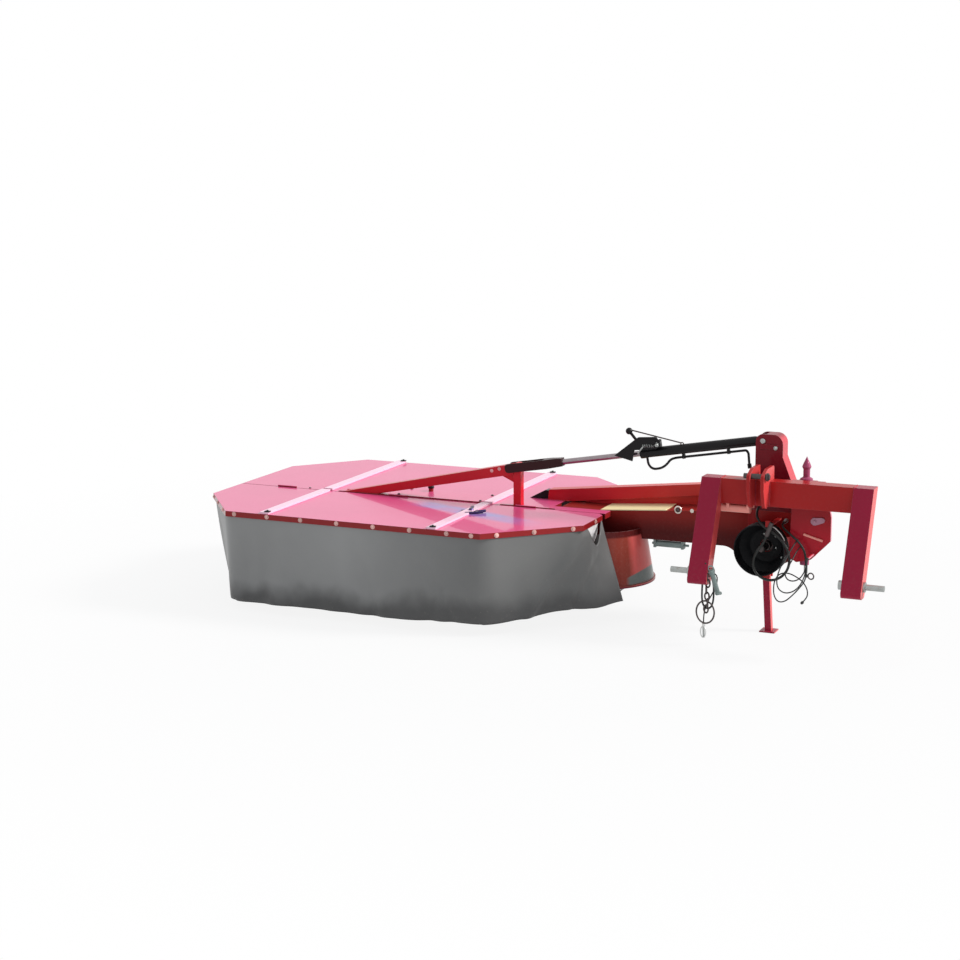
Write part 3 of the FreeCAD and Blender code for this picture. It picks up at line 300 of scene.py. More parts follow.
def moulded(name, base, rough=0.5, grain=300, strength=0.12, spec=0.5):
    """Moulded plastic or rubber with a fine grain and dusty patches."""
    mat, tree, bsdf = nodes_of(name)
    coords = tree.nodes.new("ShaderNodeTexCoord").outputs["Object"]
    patch = noise_tex(tree, coords, 9, 4)
    colour = ramp(tree, patch, [(0.35, base), (0.75, tuple(min(1, c * 1.5 + 0.012) for c in base))])
    link(tree, colour, bsdf.inputs["Base Color"])
    bsdf.inputs["Specular IOR Level"].default_value = spec
    link(tree, map_range(tree, patch, low=rough * 0.85, high=min(1, rough * 1.2)), bsdf.inputs["Roughness"])
    bump(tree, bsdf, noise_tex(tree, coords, grain, 3), strength, 0.0008)
    return mat


def deck_painted_shadow(tree, coords, colour):
    """A bluish painted shadow on the flap's top face, matched in place and tone; it stands in for shade and
    is no known mark on the real machine. A bluish tint on the flap's top face, matched by eye; its cause on
    the real machine isn't known.
    """
    shadow_axes = turned_coords(tree, coords, (-0.27, -0.362, 0.0), (0, 0, -19.5))
    along = band(tree, shadow_axes, "X", (-0.48, -0.34), (0.44, 0.10))
    across = band(tree, shadow_axes, "Y", (-0.090, -0.030), (0.090, 0.030))
    patch = ramp(tree, noise_tex(tree, coords, 7, 3), [(0.30, grey(0.35)), (0.60, grey(0.85))])
    patch = times(tree, patch, facing_mask(tree, "Z", 0.5, 0.8))
    # the bluish tone of the painted shadow, on top faces only
    return mix_colour(tree, times(tree, times(tree, along, across), patch), colour, (0.20, 0.22, 0.58))


def apron_patches(tree, coords, colour):
    """Painted shadow band under the housing, and a grey-green patch at the foot on the side that faces out.
    """
    # painted shadow: a dark band across the top of the apron, under the housing
    colour = mix_colour(tree, axis_mask(tree, coords, "Z", 0.404, 0.416), colour, (0.085, 0.006, 0.006))
    # grey-green patch at the foot, on the faces towards +X
    tilted = turned_coords(tree, coords, (0.43, 0.0, 0.205), (0, -30, 0))
    above_rim = axis_mask(tree, coords, "Z", 0.170, 0.180)
    grey_foot_patch = times(tree, axis_mask(tree, tilted, "Z", 0.004, -0.004), above_rim)
    grey_foot_patch = times(tree, grey_foot_patch, facing_mask(tree, "X", 0.74, 0.80))
    colour = mix_colour(tree, grey_foot_patch, colour, (0.150, 0.175, 0.165))
    return mix_colour(tree, axis_mask(tree, coords, "Z", 0.172, 0.168), colour, (0.20, 0.010, 0.030))


# RED, LEG_RED, BRACKET, ARM, TOWER, HOUSING and APRON are one red paint, each made lighter or darker to stand
# in for how lit or shaded its piece is: painted light and shade.
RED = paint("RedPaint", (0.40, 0.014, 0.014), coat=0.25, painted_sun=(0.60, 0.050, 0.050))
LEG_RED = paint("LegPaint", (0.33, 0.008, 0.040), coat=0.3, coat_rough=0.08, painted_sun=(0.66, 0.085, 0.085))
# painted shadow: the bracket turns darker towards its top, under the beam
BRACKET = paint("BracketPaint", (0.50, 0.010, 0.026), coat=0.3, shade=("Z", 0.50, 0.62, (0.36, 0.010, 0.018)),
                painted_sun=(0.66, 0.20, 0.26))
# painted light: the arm turns lighter towards +X
ARM = paint("ArmPaint", (0.62, 0.016, 0.030), coat=0.3, shade=("X", 0.0, 1.0, (0.72, 0.048, 0.030)))
TOWER = paint("TowerPaint", (0.22, 0.006, 0.016), coat=0.25, coat_rough=0.10, painted_sun=(0.56, 0.050, 0.070))
# painted shade: the housing is darker low down and lighter towards the top
HOUSING = paint("HousingPaint", (0.095, 0.005, 0.005), coat=0.10,
                shade=("Z", 0.42, 0.54, (0.29, 0.020, 0.016)))
APRON = paint("ApronPaint", (0.25, 0.040, 0.026), coat=0.3, dust_amount=0.02,
              painted_sun=(0.66, 0.11, 0.10), painted_sun_from=(0.80, 0.88), extra=apron_patches)
# painted light on the deck: its pink top is red paint partly lightened as a painted sky reflection, its
# upright faces are darker as painted shade, and it carries a bluish painted shadow on the flap
DECK = paint("DeckPaint", (0.72, 0.090, 0.25), rough=0.3, coat=0.55, coat_rough=0.03, dust_amount=0.006,
             drift=0.08, peel=0.005, upright=(0.27, 0.012, 0.014), wear_and_highlight=0.2, extra=deck_painted_shadow)
RAIL = paint("RailPaint", (0.92, 0.60, 0.73), coat=0.4, dust_amount=0.01, drift=0.05, wear_and_highlight=0.2)
CREAM = paint("CreamPaint", (1.0, 0.88, 0.50), coat=0.2, dust_amount=0.01, drift=0.06)
# a lit copy of the red paint, for the latch bar and the ribs: painted sunlight
LIT_RED = paint("RedPaintLit", (0.95, 0.36, 0.30), coat=0.3, drift=0.08)
MAUVE = paint("MauvePaint", (0.50, 0.26, 0.34), coat=0.3, drift=0.15)
FINIAL = paint("FinialPaint", (0.36, 0.06, 0.14), coat=0.4)
DISH = paint("DishPaint", (0.20, 0.008, 0.030), coat=0.2, dust_amount=0.03)
DRUM = paint("DrumPaint", (0.34, 0.014, 0.016), coat=0.2, dust_amount=0.03)
BLACK = paint("BlackPaint", (0.009, 0.008, 0.009), rough=0.34, coat=0.3, coat_rough=0.18,
              dust=(0.10, 0.09, 0.09), wear_and_highlight=0.2)
FORK = paint("ForkPaint", (0.036, 0.010, 0.011), rough=0.42, coat=0.2, dust=(0.12, 0.07, 0.06), wear_and_highlight=0.2)
ZINC = steel("ZincPlate", (0.42, 0.44, 0.43), rough=0.40, spot_amount=0.35)
SILVER = steel("SilverPlate", (0.70, 0.71, 0.70), rough=0.30, spot_amount=0.1)
BRIGHT = steel("BareSteel", (0.50, 0.49, 0.47), rough=0.38, spot_amount=0.5)
BLADE = steel("BladeSteel", (0.42, 0.41, 0.40), rough=0.42, spot_amount=0.6, stretch=(1, 6, 1))
CHROME = steel("RodChrome", (0.33, 0.285, 0.30), rough=0.30, spot_amount=0.02, scale=60)
BOLT = steel("BoltZinc", (0.72, 0.66, 0.60), rough=0.4, spot_amount=0.35, scale=80)
DARKBOLT = steel("BoltDark", (0.10, 0.085, 0.085), rough=0.45, spot_amount=0.4, scale=80)
GUARD = moulded("GuardPlastic", (0.0035, 0.0038, 0.005), rough=0.55, spec=0.18)
HOSE = moulded("HoseRubber", (0.004, 0.005, 0.004), rough=0.42, grain=500, spec=0.35)
ROPE = moulded("RopeFibre", (0.014, 0.015, 0.015), rough=0.7, grain=700, strength=0.3)
GREYCAP = moulded("GreyCap", (0.16, 0.21, 0.20), rough=0.45)
PALE = moulded("PaleFilm", (0.74, 0.74, 0.73), rough=0.4)
WASHER = moulded("WasherPale", (0.58, 0.34, 0.31), rough=0.42)
LATCH = steel("LatchSteel", (0.065, 0.045, 0.13), rough=0.35, spot_amount=0.2)


def plus_scaled(tree, base, value, factor):
    """base + value * factor"""
    node = tree.nodes.new("ShaderNodeMath")
    node.operation = "MULTIPLY_ADD"
    node.inputs[1].default_value = factor
    link(tree, value, node.inputs[0])
    link(tree, base, node.inputs[2])
    return node.outputs[0]


def threads(tree, coords, direction):
    wave = tree.nodes.new("ShaderNodeTexWave")
    wave.inputs["Scale"].default_value = 260
    wave.wave_type, wave.bands_direction = "BANDS", direction
    link(tree, coords, wave.inputs["Vector"])
    return wave.outputs["Fac"]


def curtain_cloth():
    """Coated fabric: grey film over a fine weave, darker towards +X as painted shade, and darker at the hem.
    """
    mat, tree, bsdf = nodes_of("CurtainFabric")
    coords = tree.nodes.new("ShaderNodeTexCoord").outputs["Object"]
    wander = noise_tex(tree, coords, 3.6, 3, 0.5, (1, 1, 0.8))
    across = map_range(tree, part_of(tree, coords, "X"), -1.3, 0.25)
    height = plus_scaled(tree, plus_scaled(tree, part_of(tree, coords, "Z"), wander, 0.20), across, -0.075)
    # darker band at the hem
    above_hem = map_range(tree, height, 0.155, 0.265, soft=True)
    # painted shade: the grey steps darker towards +X
    upper = ramp(tree, across, [(0.0, (0.265, 0.267, 0.263)), (0.30, (0.285, 0.287, 0.283)),
                                (0.52, (0.215, 0.217, 0.214)), (0.72, (0.168, 0.170, 0.167)),
                                (1.0, (0.128, 0.130, 0.127))])
    clouds = ramp(tree, noise_tex(tree, coords, 1.8, 3), [(0.3, grey(0.86)), (0.7, grey(1))])
    upper = mix_colour(tree, 1.0, upper, clouds, "MULTIPLY")
    colour = mix_colour(tree, above_hem, (0.066, 0.066, 0.066), upper)
    speck = ramp(tree, noise_tex(tree, coords, 60, 4, 0.7), [(0.62, grey(0)), (0.72, grey(0.25))])
    colour = mix_colour(tree, speck, colour, (0.24, 0.22, 0.19))
    link(tree, colour, bsdf.inputs["Base Color"])
    link(tree, map_range(tree, wander, low=0.34, high=0.48), bsdf.inputs["Roughness"])
    bsdf.inputs["Specular IOR Level"].default_value = 0.5
    bump(tree, bsdf, times(tree, threads(tree, coords, "Z"), threads(tree, coords, "DIAGONAL")), 0.12, 0.0006)
    return mat


CLOTH = curtain_cloth()

FINISH = {
    RED: ["headstock_beam", "top_link_lugs", "carrier"],
    BRACKET: ["pivot_bracket"],
    LIT_RED: ["latch_bar"],
    FINIAL: ["pivot_pin"],
    ARM: ["arm_tube", "arm_hub", "lift_post", "lift_strut"],
    TOWER: ["lift_tower", "tower_pin"],
    LEG_RED: ["headstock_leg_left", "headstock_leg_right", "parking_stand"],
    HOUSING: ["belt_housing", "gear_beam"],
    APRON: ["inner_apron"],
    GREYCAP: ["belt_tensioner"],
    DRUM: ["drum_outer", "drum_inner"],
    DECK: ["deck_front", "deck_rear", "gear_cover", "flap_hinges"],
    RAIL: ["rails_front", "rails_rear"],
    CREAM: ["housing_lid"],
    DISH: ["dish_outer", "dish_inner"],
    BLACK: ["cylinder_barrel", "transport_hook", "tube_gusset", "cylinder_pipe"],
    FORK: ["fork_link"],
    ZINC: ["hitch_pin_left", "hitch_pin_right", "stand_pin", "pivot_cap", "return_plug", "tether_pin"],
    BRIGHT: ["drum_shafts"],
    DARKBOLT: ["drive_shaft", "top_link_pin", "hose_coupler"],
    BLADE: ["knives_outer", "knives_inner"],
    CHROME: ["cylinder_rod"],
    GUARD: ["shaft_guard"],
}
for material, names in FINISH.items():
    for name in names:
        for cad_slot in NODES[name].material_slots:
            cad_slot.link = "OBJECT"
            cad_slot.material = material


# ---------------------------------------------------------------- mesh helpers
def mesh_object(name, bm, material, body, smooth=True):
    mesh = bpy.data.meshes.new(name)
    bm.normal_update()
    bm.to_mesh(mesh)
    bm.free()
    obj = bpy.data.objects.new(name, mesh)
    scene.collection.objects.link(obj)
    mesh.materials.append(material)
    for face in mesh.polygons:
        face.use_smooth = smooth
    if body:
        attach(obj, body)
    return obj


def hung_sheet(name, path, top, hem, push, columns, rows, body, pull=None):
    """A curtain that hangs along a plan line; top and hem give its edge heights, push its offset outwards."""
    lengths = [0.0]
    for a, b in zip(path, path[1:]):
        lengths.append(lengths[-1] + (Vector(b) - Vector(a)).length)
    total = lengths[-1]
    corner_radius, samples = 0.07, 6

    def at(s):
        for i in range(len(path) - 1):
            if s <= lengths[i + 1] or i == len(path) - 2:
                t = (s - lengths[i]) / (lengths[i + 1] - lengths[i])
                return Vector(path[i]).lerp(Vector(path[i + 1]), t)

    def rounded(s):
        spread = min(corner_radius, s, total - s)
        steps = [at(s + spread * k / samples) for k in range(-samples, samples + 1)]
        return sum(steps, Vector((0, 0))) / len(steps)

    bm = bmesh.new()
    grid = []
    for i in range(columns + 1):
        s = total * i / columns
        here = rounded(s)
        ahead, back = rounded(min(total, s + 0.01)), rounded(max(0, s - 0.01))
        along = (ahead - back).normalized()
        out_dir = Vector((along.y, -along.x))
        z_top, z_hem = top(s, total), hem(s, total)
        column = []
        for j in range(rows + 1):
            t = j / rows
            z = z_top + (z_hem - z_top) * t
            off, slide = push(s, total, t, z)
            p = here + out_dir * off + along * slide
            column.append(bm.verts.new((p.x, p.y, z)))
        grid.append(column)
    for i in range(columns):
        for j in range(rows):
            bm.faces.new((grid[i][j], grid[i][j + 1], grid[i + 1][j + 1], grid[i + 1][j]))
    bmesh.ops.recalc_face_normals(bm, faces=bm.faces)
    obj = mesh_object(name, bm, CLOTH, None)
    thick = obj.modifiers.new("Thickness", "SOLIDIFY")
    thick.thickness, thick.offset = 0.003, 0.0
    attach(obj, body)
    return obj


def ease(x):
    x = max(0.0, min(1.0, x))
    return x * x * (3 - 2 * x)


# ---------------------------------------------------------------- curtains
# plan of the deck: its sides, and where the slanted corners start
LEFT, RIGHT, FRONT, BACK = -1.785, 0.302, -0.780, 0.780
SLANT_LEFT, SLANT_RIGHT, SLANT_FRONT, SLANT_BACK = -1.487, -0.082, -0.411, 0.430
IN = 0.0075         # from the rim to the cloth
IN_SLANT = 0.003    # what that moves the corners by
TOP = 0.4995        # the cloth's upper edge
REAR_HEM = 0.040
FRONT_PATH = [(LEFT + IN, -0.122), (LEFT + IN, SLANT_FRONT), (SLANT_LEFT + IN_SLANT, FRONT + IN),
              (SLANT_RIGHT - IN_SLANT, FRONT + IN), (RIGHT - IN, SLANT_FRONT - IN_SLANT),
              (RIGHT - IN, -0.150)]
# lengths along that path where the front, the right slant and the right side start
S_DIAG, S_FRONT, S_RIGHT = 0.760, 2.160, 2.690
# pleats of the front curtain: place along the path, lean, width and depth
PLEATS = [(0.42, 0.10, 0.034, 0.010), (1.02, -0.06, 0.045, 0.009), (1.46, 0.12, 0.040, 0.013),
          (1.78, 0.22, 0.030, 0.012), (2.02, -0.14, 0.036, 0.011)]


def ripple(x, y, z):
    return noise.noise(Vector((x, y, z)))


def groove(s, place, wide):
    """A rounded groove or ridge across the cloth."""
    return math.exp(-((s - place) / wide) ** 2)


def front_top(s, total):
    y = SLANT_FRONT + (s - S_RIGHT)
    if s < S_RIGHT or y < -0.376:
        return TOP
    if y < -0.294:
        return TOP - 0.100 * ease((y + 0.376) / 0.082)
    return 0.3995 + 0.0955 * ease((y + 0.294) / 0.140)


def front_hem(s, total):
    if s < S_DIAG:
        return 0.034 + 0.012 * ease(s / S_DIAG)
    if s < S_FRONT:
        return 0.046 + 0.014 * (s - S_DIAG) / (S_FRONT - S_DIAG) + 0.004 * math.sin(s * 7)
    return 0.060 + 0.036 * ease((s - S_FRONT) / 0.45) + 0.016 * ease((s - S_RIGHT) / 0.25)


def front_push(s, total, t, z):
    low = t ** 1.6
    fold = ripple(s * 3.1, z * 1.3, 0.3) * 0.026 + ripple(s * 8.5, z * 3.2, 2.1) * 0.012
    inward = -0.055 * (1 - ease((s - 0.35) / 0.75)) * t ** 1.2
    end = ease((s - S_RIGHT + 0.10) / 0.16) * min(1.0, (s - S_RIGHT + 0.10) / 0.37)
    drop = max(0.0, TOP - z)
    out_off = end * (0.34 * drop + 0.028 * ease(drop / 0.05))
    slide = -max(0.0, end - 0.3) / 0.7 * (0.072 * ease(drop / 0.05) + 0.055 * drop)
    crease = 0.019 * groove(s, S_RIGHT + 0.04 - 0.34 * t, 0.030) * ease(t * 2.2)
    second = 0.014 * groove(s, S_RIGHT + 0.16 - 0.20 * t, 0.025) * ease(t * 3)
    pleat = sum(deep * groove(s, place + lean * t, wide) for place, lean, wide, deep in PLEATS)
    return inward + fold * low + out_off + crease - second - pleat * ease(t * 1.6), slide


front_curtain = hung_sheet("front_curtain", FRONT_PATH, front_top, front_hem, front_push, 240, 30, "flap")
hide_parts("skirt_front")


def rear_push(s, total, t, z):
    fold = ripple(s * 3.3, z * 1.4, 5.3) * 0.026 + ripple(s * 8.1, z * 3.0, 7.7) * 0.010
    return (fold - 0.012) * t ** 1.5, 0.0


def rear_top(s, total):
    return TOP


def rear_hem(phase):
    return lambda s, total: REAR_HEM + 0.008 * math.sin(s * 5 + phase)


REAR_LEFT_PATH = [(-1.1745, BACK - IN), (SLANT_LEFT + IN_SLANT, BACK - IN),
                  (LEFT + IN, SLANT_BACK + IN_SLANT), (LEFT + IN, -0.108)]
rear_left = hung_sheet("rear_curtain_left", REAR_LEFT_PATH, rear_top, rear_hem(0), rear_push, 130, 26, "arm")
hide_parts("skirt_rear")
REAR_RIGHT_PATH = [(RIGHT - IN, 0.192), (RIGHT - IN, SLANT_BACK + IN_SLANT),
                   (SLANT_RIGHT - IN_SLANT, BACK - IN), (-0.3085, BACK - IN)]
hung_sheet("rear_curtain_right", REAR_RIGHT_PATH, rear_top, rear_hem(1), rear_push, 110, 26, "arm")


# ---------------------------------------------------------------- hoses and ropes
def cord_curve(name, points, diameter, material, body):
    """A round cord on a smooth curve; its points and diameter are in millimetres."""
    data = bpy.data.curves.new(name, "CURVE")
    data.dimensions = "3D"
    spline = data.splines.new("NURBS")
    spline.points.add(len(points) - 1)
    for knot, p in zip(spline.points, points):
        knot.co = (p[0] / 1000, p[1] / 1000, p[2] / 1000, 1)
    spline.order_u = 3
    spline.use_endpoint_u = True
    spline.resolution_u = 8
    data.bevel_depth = diameter / 2000
    data.bevel_resolution = 4
    data.use_fill_caps = True
    obj = bpy.data.objects.new(name, data)
    scene.collection.objects.link(obj)
    data.materials.append(material)
    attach(obj, body)
    return obj


SUPPLY = [(1115, -124, 634), (1115, -180, 634), (1118, -238, 628), (1130, -288, 600), (1168, -318, 566),
          (1222, -319, 538), (1272, -320, 498), (1303, -322, 440), (1302, -324, 376), (1264, -327, 324),
          (1202, -331, 306), (1144, -335, 336), (1128, -339, 396), (1150, -342, 450), (1182, -344, 488),
          (1196, -344, 526)]
RETURN = [(1230, -124, 560), (1230, -170, 560), (1233, -216, 558), (1254, -256, 547), (1302, -272, 520),
          (1346, -271, 480), (1368, -270, 430), (1368, -270, 384)]
CONTROL = [(1392, -330, 432), (1392, -344, 432), (1393, -350, 408), (1394, -350, 370), (1386, -349, 326),
           (1358, -348, 288), (1325, -347, 250), (1292, -347, 219), (1258, -347, 214), (1238, -347, 244),
           (1236, -348, 288), (1244, -349, 326), (1268, -350, 355), (1308, -350, 360), (1348, -350, 344),
           (1382, -349, 320), (1402, -349, 282), (1398, -348, 246), (1374, -347, 222)]
TETHER = [(978, -462, 350), (990, -462, 350), (998, -463, 328), (992, -464, 290), (972, -465, 250),
          (952, -466, 212), (938, -466, 172), (933, -466, 130), (934, -466, 92)]

supply = cord_curve("supply_line", SUPPLY, 12.6, HOSE, "carrier")
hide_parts("supply_hose")
back = cord_curve("return_line", RETURN, 10.6, HOSE, "carrier")
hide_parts("return_hose")
control = cord_curve("control_line", CONTROL, 6, ROPE, "headstock")
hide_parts("control_rope")
tether = cord_curve("tether_line", TETHER, 6, ROPE, "headstock")
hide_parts("tether_rope")

TO_FRONT, TO_BACK, UPWARD = (0, -1, 0), (0, 1, 0), (0, 0, 1)


# ---------------------------------------------------------------- small mesh builders
def frame_of(axis):
    """Two directions across an axis, and the axis itself."""
    axis = Vector(axis).normalized()
    across = Vector((1, 0, 0)) if abs(axis.z) > 0.99 else Vector((0, 0, 1)).cross(axis).normalized()
    return across, axis.cross(across), axis


def lathe(bm, profile, at, axis, sides=20):
    """Turn (radius, height) pairs about an axis through a point."""
    u, v, w = frame_of(axis)
    rings = []
    for radius, height in profile:
        centre = Vector(at) + w * height
        if radius < 1e-6:
            rings.append([bm.verts.new(centre)])
        else:
            rings.append([bm.verts.new(centre + (u * math.cos(a) + v * math.sin(a)) * radius)
                          for a in (math.tau * k / sides for k in range(sides))])
    for low, high in zip(rings, rings[1:]):
        for k in range(sides):
            n = (k + 1) % sides
            if len(low) == 1 and len(high) == 1:
                continue
            if len(low) == 1:
                bm.faces.new((low[0], high[n], high[k]))
            elif len(high) == 1:
                bm.faces.new((low[k], low[n], high[0]))
            else:
                bm.faces.new((low[k], low[n], high[n], high[k]))


def bar(bm, a, b, radius, sides=14):
    """A round bar with chamfered ends."""
    length = (Vector(b) - Vector(a)).length
    edge = radius * 0.25
    profile = [(0, 0), (radius - edge, 0), (radius, edge)]
    profile += [(r, length - h) for r, h in reversed(profile)]
    lathe(bm, profile, a, Vector(b) - Vector(a), sides)


def hoop(bm, at, axis, radius, thick, start=0.0, end=360.0, steps=36, sides=8, squeeze=1.0):
    """A ring of round wire, or part of one."""
    u, v, w = frame_of(axis)
    closed = end - start >= 359.9
    rings = []
    for i in range(steps if closed else steps + 1):
        a = math.radians(start + (end - start) * i / steps)
        out_dir = u * math.cos(a) + v * math.sin(a) * squeeze
        centre = Vector(at) + out_dir * radius
        out_dir = out_dir.normalized()
        rings.append([bm.verts.new(centre + (out_dir * math.cos(t) + w * math.sin(t)) * thick)
                      for t in (math.tau * k / sides for k in range(sides))])
    count = len(rings) if closed else len(rings) - 1
    for i in range(count):
        low, high = rings[i], rings[(i + 1) % len(rings)]
        for k in range(sides):
            n = (k + 1) % sides
            bm.faces.new((low[k], low[n], high[n], high[k]))
    if not closed:
        bm.faces.new(rings[0][::-1])
        bm.faces.new(rings[-1])


def block(bm, at, size, turn=(0, 0, 0), edge=0.0015):
    """A block with rounded edges, turned about its middle."""
    verts = bmesh.ops.create_cube(bm, size=1.0)["verts"]
    turns = [Matrix.Rotation(math.radians(angle), 3, axis) for angle, axis in zip(turn, "XYZ")]
    spin = turns[2] @ turns[1] @ turns[0]
    for vert in verts:
        vert.co = spin @ Vector((vert.co.x * size[0], vert.co.y * size[1], vert.co.z * size[2])) + Vector(at)
    edges = list({e for vert in verts for e in vert.link_edges})
    bmesh.ops.bevel(bm, geom=edges, offset=edge, segments=2, affect="EDGES", profile=0.7)


def hex_head(bm, at, axis, across=0.016, tall=0.006, turned=0.0):
    """A chamfered hexagon head that sits on a face."""
    u, v, w = frame_of(axis)
    rings = []
    for radius, height in ((across / 2, 0), (across / 2, tall * 0.75), (across / 2 * 0.86, tall)):
        rings.append([bm.verts.new(Vector(at) + w * height + (u * math.cos(a) + v * math.sin(a)) * radius)
                      for a in (math.tau * (k + turned) / 6 for k in range(6))])
    for low, high in zip(rings, rings[1:]):
        for k in range(6):
            bm.faces.new((low[k], low[(k + 1) % 6], high[(k + 1) % 6], high[k]))
    bm.faces.new(rings[-1])
    bm.faces.new(rings[0][::-1])


def washer(bm, at, axis, radius, tall):
    lathe(bm, [(0, 0), (radius, 0), (radius, tall * 0.6), (radius - tall * 0.5, tall), (0, tall)], at, axis)


def finish_mesh(name, bm, material, body, smooth=False):
    bmesh.ops.recalc_face_normals(bm, faces=bm.faces)
    return mesh_object(name, bm, material, body, smooth)


def bead(bm, a, b, radius=0.0033):
    """A weld bead between two points, with the ripples of its passes."""
    a, b = Vector(a), Vector(b)
    u, v, w = frame_of(b - a)
    count = max(3, int((b - a).length / 0.005))
    rings = []
    for i in range(count + 1):
        size = radius * (0.82 + 0.25 * (i % 2) + 0.12 * noise.noise(a * 40 + w * i))
        if i in (0, count):
            size *= 0.4
        centre = a.lerp(b, i / count)
        rings.append([bm.verts.new(centre + (u * math.cos(t) + v * math.sin(t)) * size)
                      for t in (math.tau * k / 8 for k in range(8))])
    for low, high in zip(rings, rings[1:]):
        for k in range(8):
            bm.faces.new((low[k], low[(k + 1) % 8], high[(k + 1) % 8], high[k]))
    bm.faces.new(rings[0][::-1])
    bm.faces.new(rings[-1])


# ---------------------------------------------------------------- deck fasteners and trim
RIM_Z = 0.502


def along_slant(a, b, shares):
    """Places at shares of a slanted edge of the rim, each with the direction that the edge faces."""
    faces = Vector((b[1] - a[1], a[0] - b[0], 0)).normalized()
    if faces.y * a[1] < 0:
        faces = -faces
    return [((a[0] + (b[0] - a[0]) * t, a[1] + (b[1] - a[1]) * t), faces) for t in shares]


FRONT_BOLTS = (-1.436, -1.248, -1.057, -0.855, -0.654, -0.456, -0.258, -0.128)
front_rim = [((x, FRONT), TO_FRONT) for x in FRONT_BOLTS]
front_rim += along_slant((SLANT_RIGHT, FRONT), (RIGHT, SLANT_FRONT), (0.16, 0.52, 0.90))
front_rim += [((RIGHT, -0.246), (1, 0, 0))]
front_rim += along_slant((SLANT_LEFT, FRONT), (LEFT, SLANT_FRONT), (0.20, 0.60, 0.94))
front_rim += [((LEFT, -0.235), (-1, 0, 0))]
rear_rim = [((x, BACK), TO_BACK) for x in (-1.42, -1.22, -1.02, -0.82, -0.62, -0.42, -0.22)]
rear_rim += along_slant((SLANT_LEFT, BACK), (LEFT, SLANT_BACK), (0.2, 0.6))
rear_rim += along_slant((SLANT_RIGHT, BACK), (RIGHT, SLANT_BACK), (0.2, 0.6))
rear_rim += [((LEFT, y), (-1, 0, 0)) for y in (0.02, 0.20, 0.38)]
rear_rim += [((RIGHT, y), (1, 0, 0)) for y in (0.25, 0.38)]
for body, rim in (("flap", front_rim), ("arm", rear_rim)):
    pads, heads = bmesh.new(), bmesh.new()
    for (x, y), normal in rim:
        at = Vector((x, y, RIM_Z))
        washer(pads, at, normal, 0.0118, 0.0018)
        hex_head(heads, at + Vector(normal) * 0.0015, normal, 0.013, 0.005, random.random())
    finish_mesh("rim_washers_" + body, pads, WASHER, body)
    finish_mesh("rim_bolts_" + body, heads, WASHER, body)

for name, body, y in (("rail_clips_front", "flap", -0.764), ("rail_clips_rear", "arm", 0.764)):
    bm = bmesh.new()
    for x in (-1.261, -0.347):
        block(bm, (x + 0.010, y, 0.5278), (0.030, 0.020, 0.0062), (0, 0, 12), 0.002)
        hex_head(bm, (x + 0.010, y, 0.5306), UPWARD, 0.012, 0.005)
    finish_mesh(name, bm, BLACK, body)

# flap latch: base plate, turned handle, bent tongue and its pivot
bm = bmesh.new()
block(bm, (-0.340, -0.330, 0.518), (0.085, 0.060, 0.006), (0, 0, 24), 0.0015)
block(bm, (-0.352, -0.275, 0.522), (0.018, 0.085, 0.010), (0, 0, 20), 0.003)
block(bm, (-0.300, -0.366, 0.522), (0.016, 0.092, 0.010), (0, 0, -52), 0.003)
bar(bm, (-0.285, -0.345, 0.524), (-0.258, -0.316, 0.526), 0.007)
LATCH_HEAD = [(0, 0), (0.012, 0), (0.013, 0.004), (0.009, 0.012), (0, 0.013)]
lathe(bm, LATCH_HEAD, (-0.335, -0.325, 0.521), UPWARD)
finish_mesh("flap_latch", bm, LATCH, "flap")

bm = bmesh.new()
KNOB = [(0, 0), (0.0155, 0), (0.0165, 0.004), (0.0165, 0.009), (0.012, 0.014), (0, 0.015)]
lathe(bm, KNOB, (-0.7355, 0.050, 0.5372), UPWARD)
finish_mesh("cover_knob_cap", bm, BLACK, "arm", True)
bm = bmesh.new()
for x in (-0.855, -0.389):
    for y in (-0.090, 0.063):
        washer(bm, (x, y, 0.521), UPWARD, 0.009, 0.0015)
        hex_head(bm, (x, y, 0.5222), UPWARD, 0.011, 0.005, 0.3)
finish_mesh("cover_screws", bm, DARKBOLT, "arm")
# folded lip of the rear half along the hinge line
bm = bmesh.new()
block(bm, (-1.02, -0.1075, 0.5165), (0.36, 0.005, 0.004), (0, 0, 0), 0.001)
block(bm, (-0.12, -0.1075, 0.5165), (0.30, 0.005, 0.004), (0, 0, 0), 0.001)
finish_mesh("split_lip", bm, HOUSING, "arm")
bm = bmesh.new()
for x in (-1.50, -1.38, -0.60, -0.46):
    hex_head(bm, (x, -0.094, 0.515), UPWARD, 0.012, 0.005, 0.2)
finish_mesh("hinge_screws", bm, DARKBOLT, "arm")

# pale turned-over corner of the curtain behind its loose end
bm = bmesh.new()
corners = [(-0.372, 0.4985), (-0.165, 0.4985), (-0.262, 0.372)]
steps = 10
grid = {}
for i in range(steps + 1):
    for j in range(steps + 1 - i):
        a, b = i / steps, j / steps
        y = corners[0][0] * (1 - a - b) + corners[1][0] * a + corners[2][0] * b
        z = corners[0][1] * (1 - a - b) + corners[1][1] * a + corners[2][1] * b
        curl = 0.008 * math.sin(b * 3.0) * math.sin(a * 3.1 + 0.2)
        grid[i, j] = bm.verts.new((RIGHT - 0.0135 + curl, y, z))
for i in range(steps):
    for j in range(steps - i):
        bm.faces.new((grid[i, j], grid[i + 1, j], grid[i, j + 1]))
        if i + j < steps - 1:
            bm.faces.new((grid[i + 1, j], grid[i + 1, j + 1], grid[i, j + 1]))
fold = finish_mesh("curtain_fold", bm, PALE, "flap", True)
thick = fold.modifiers.new("Thickness", "SOLIDIFY")
thick.thickness, thick.offset = 0.002, 0.0

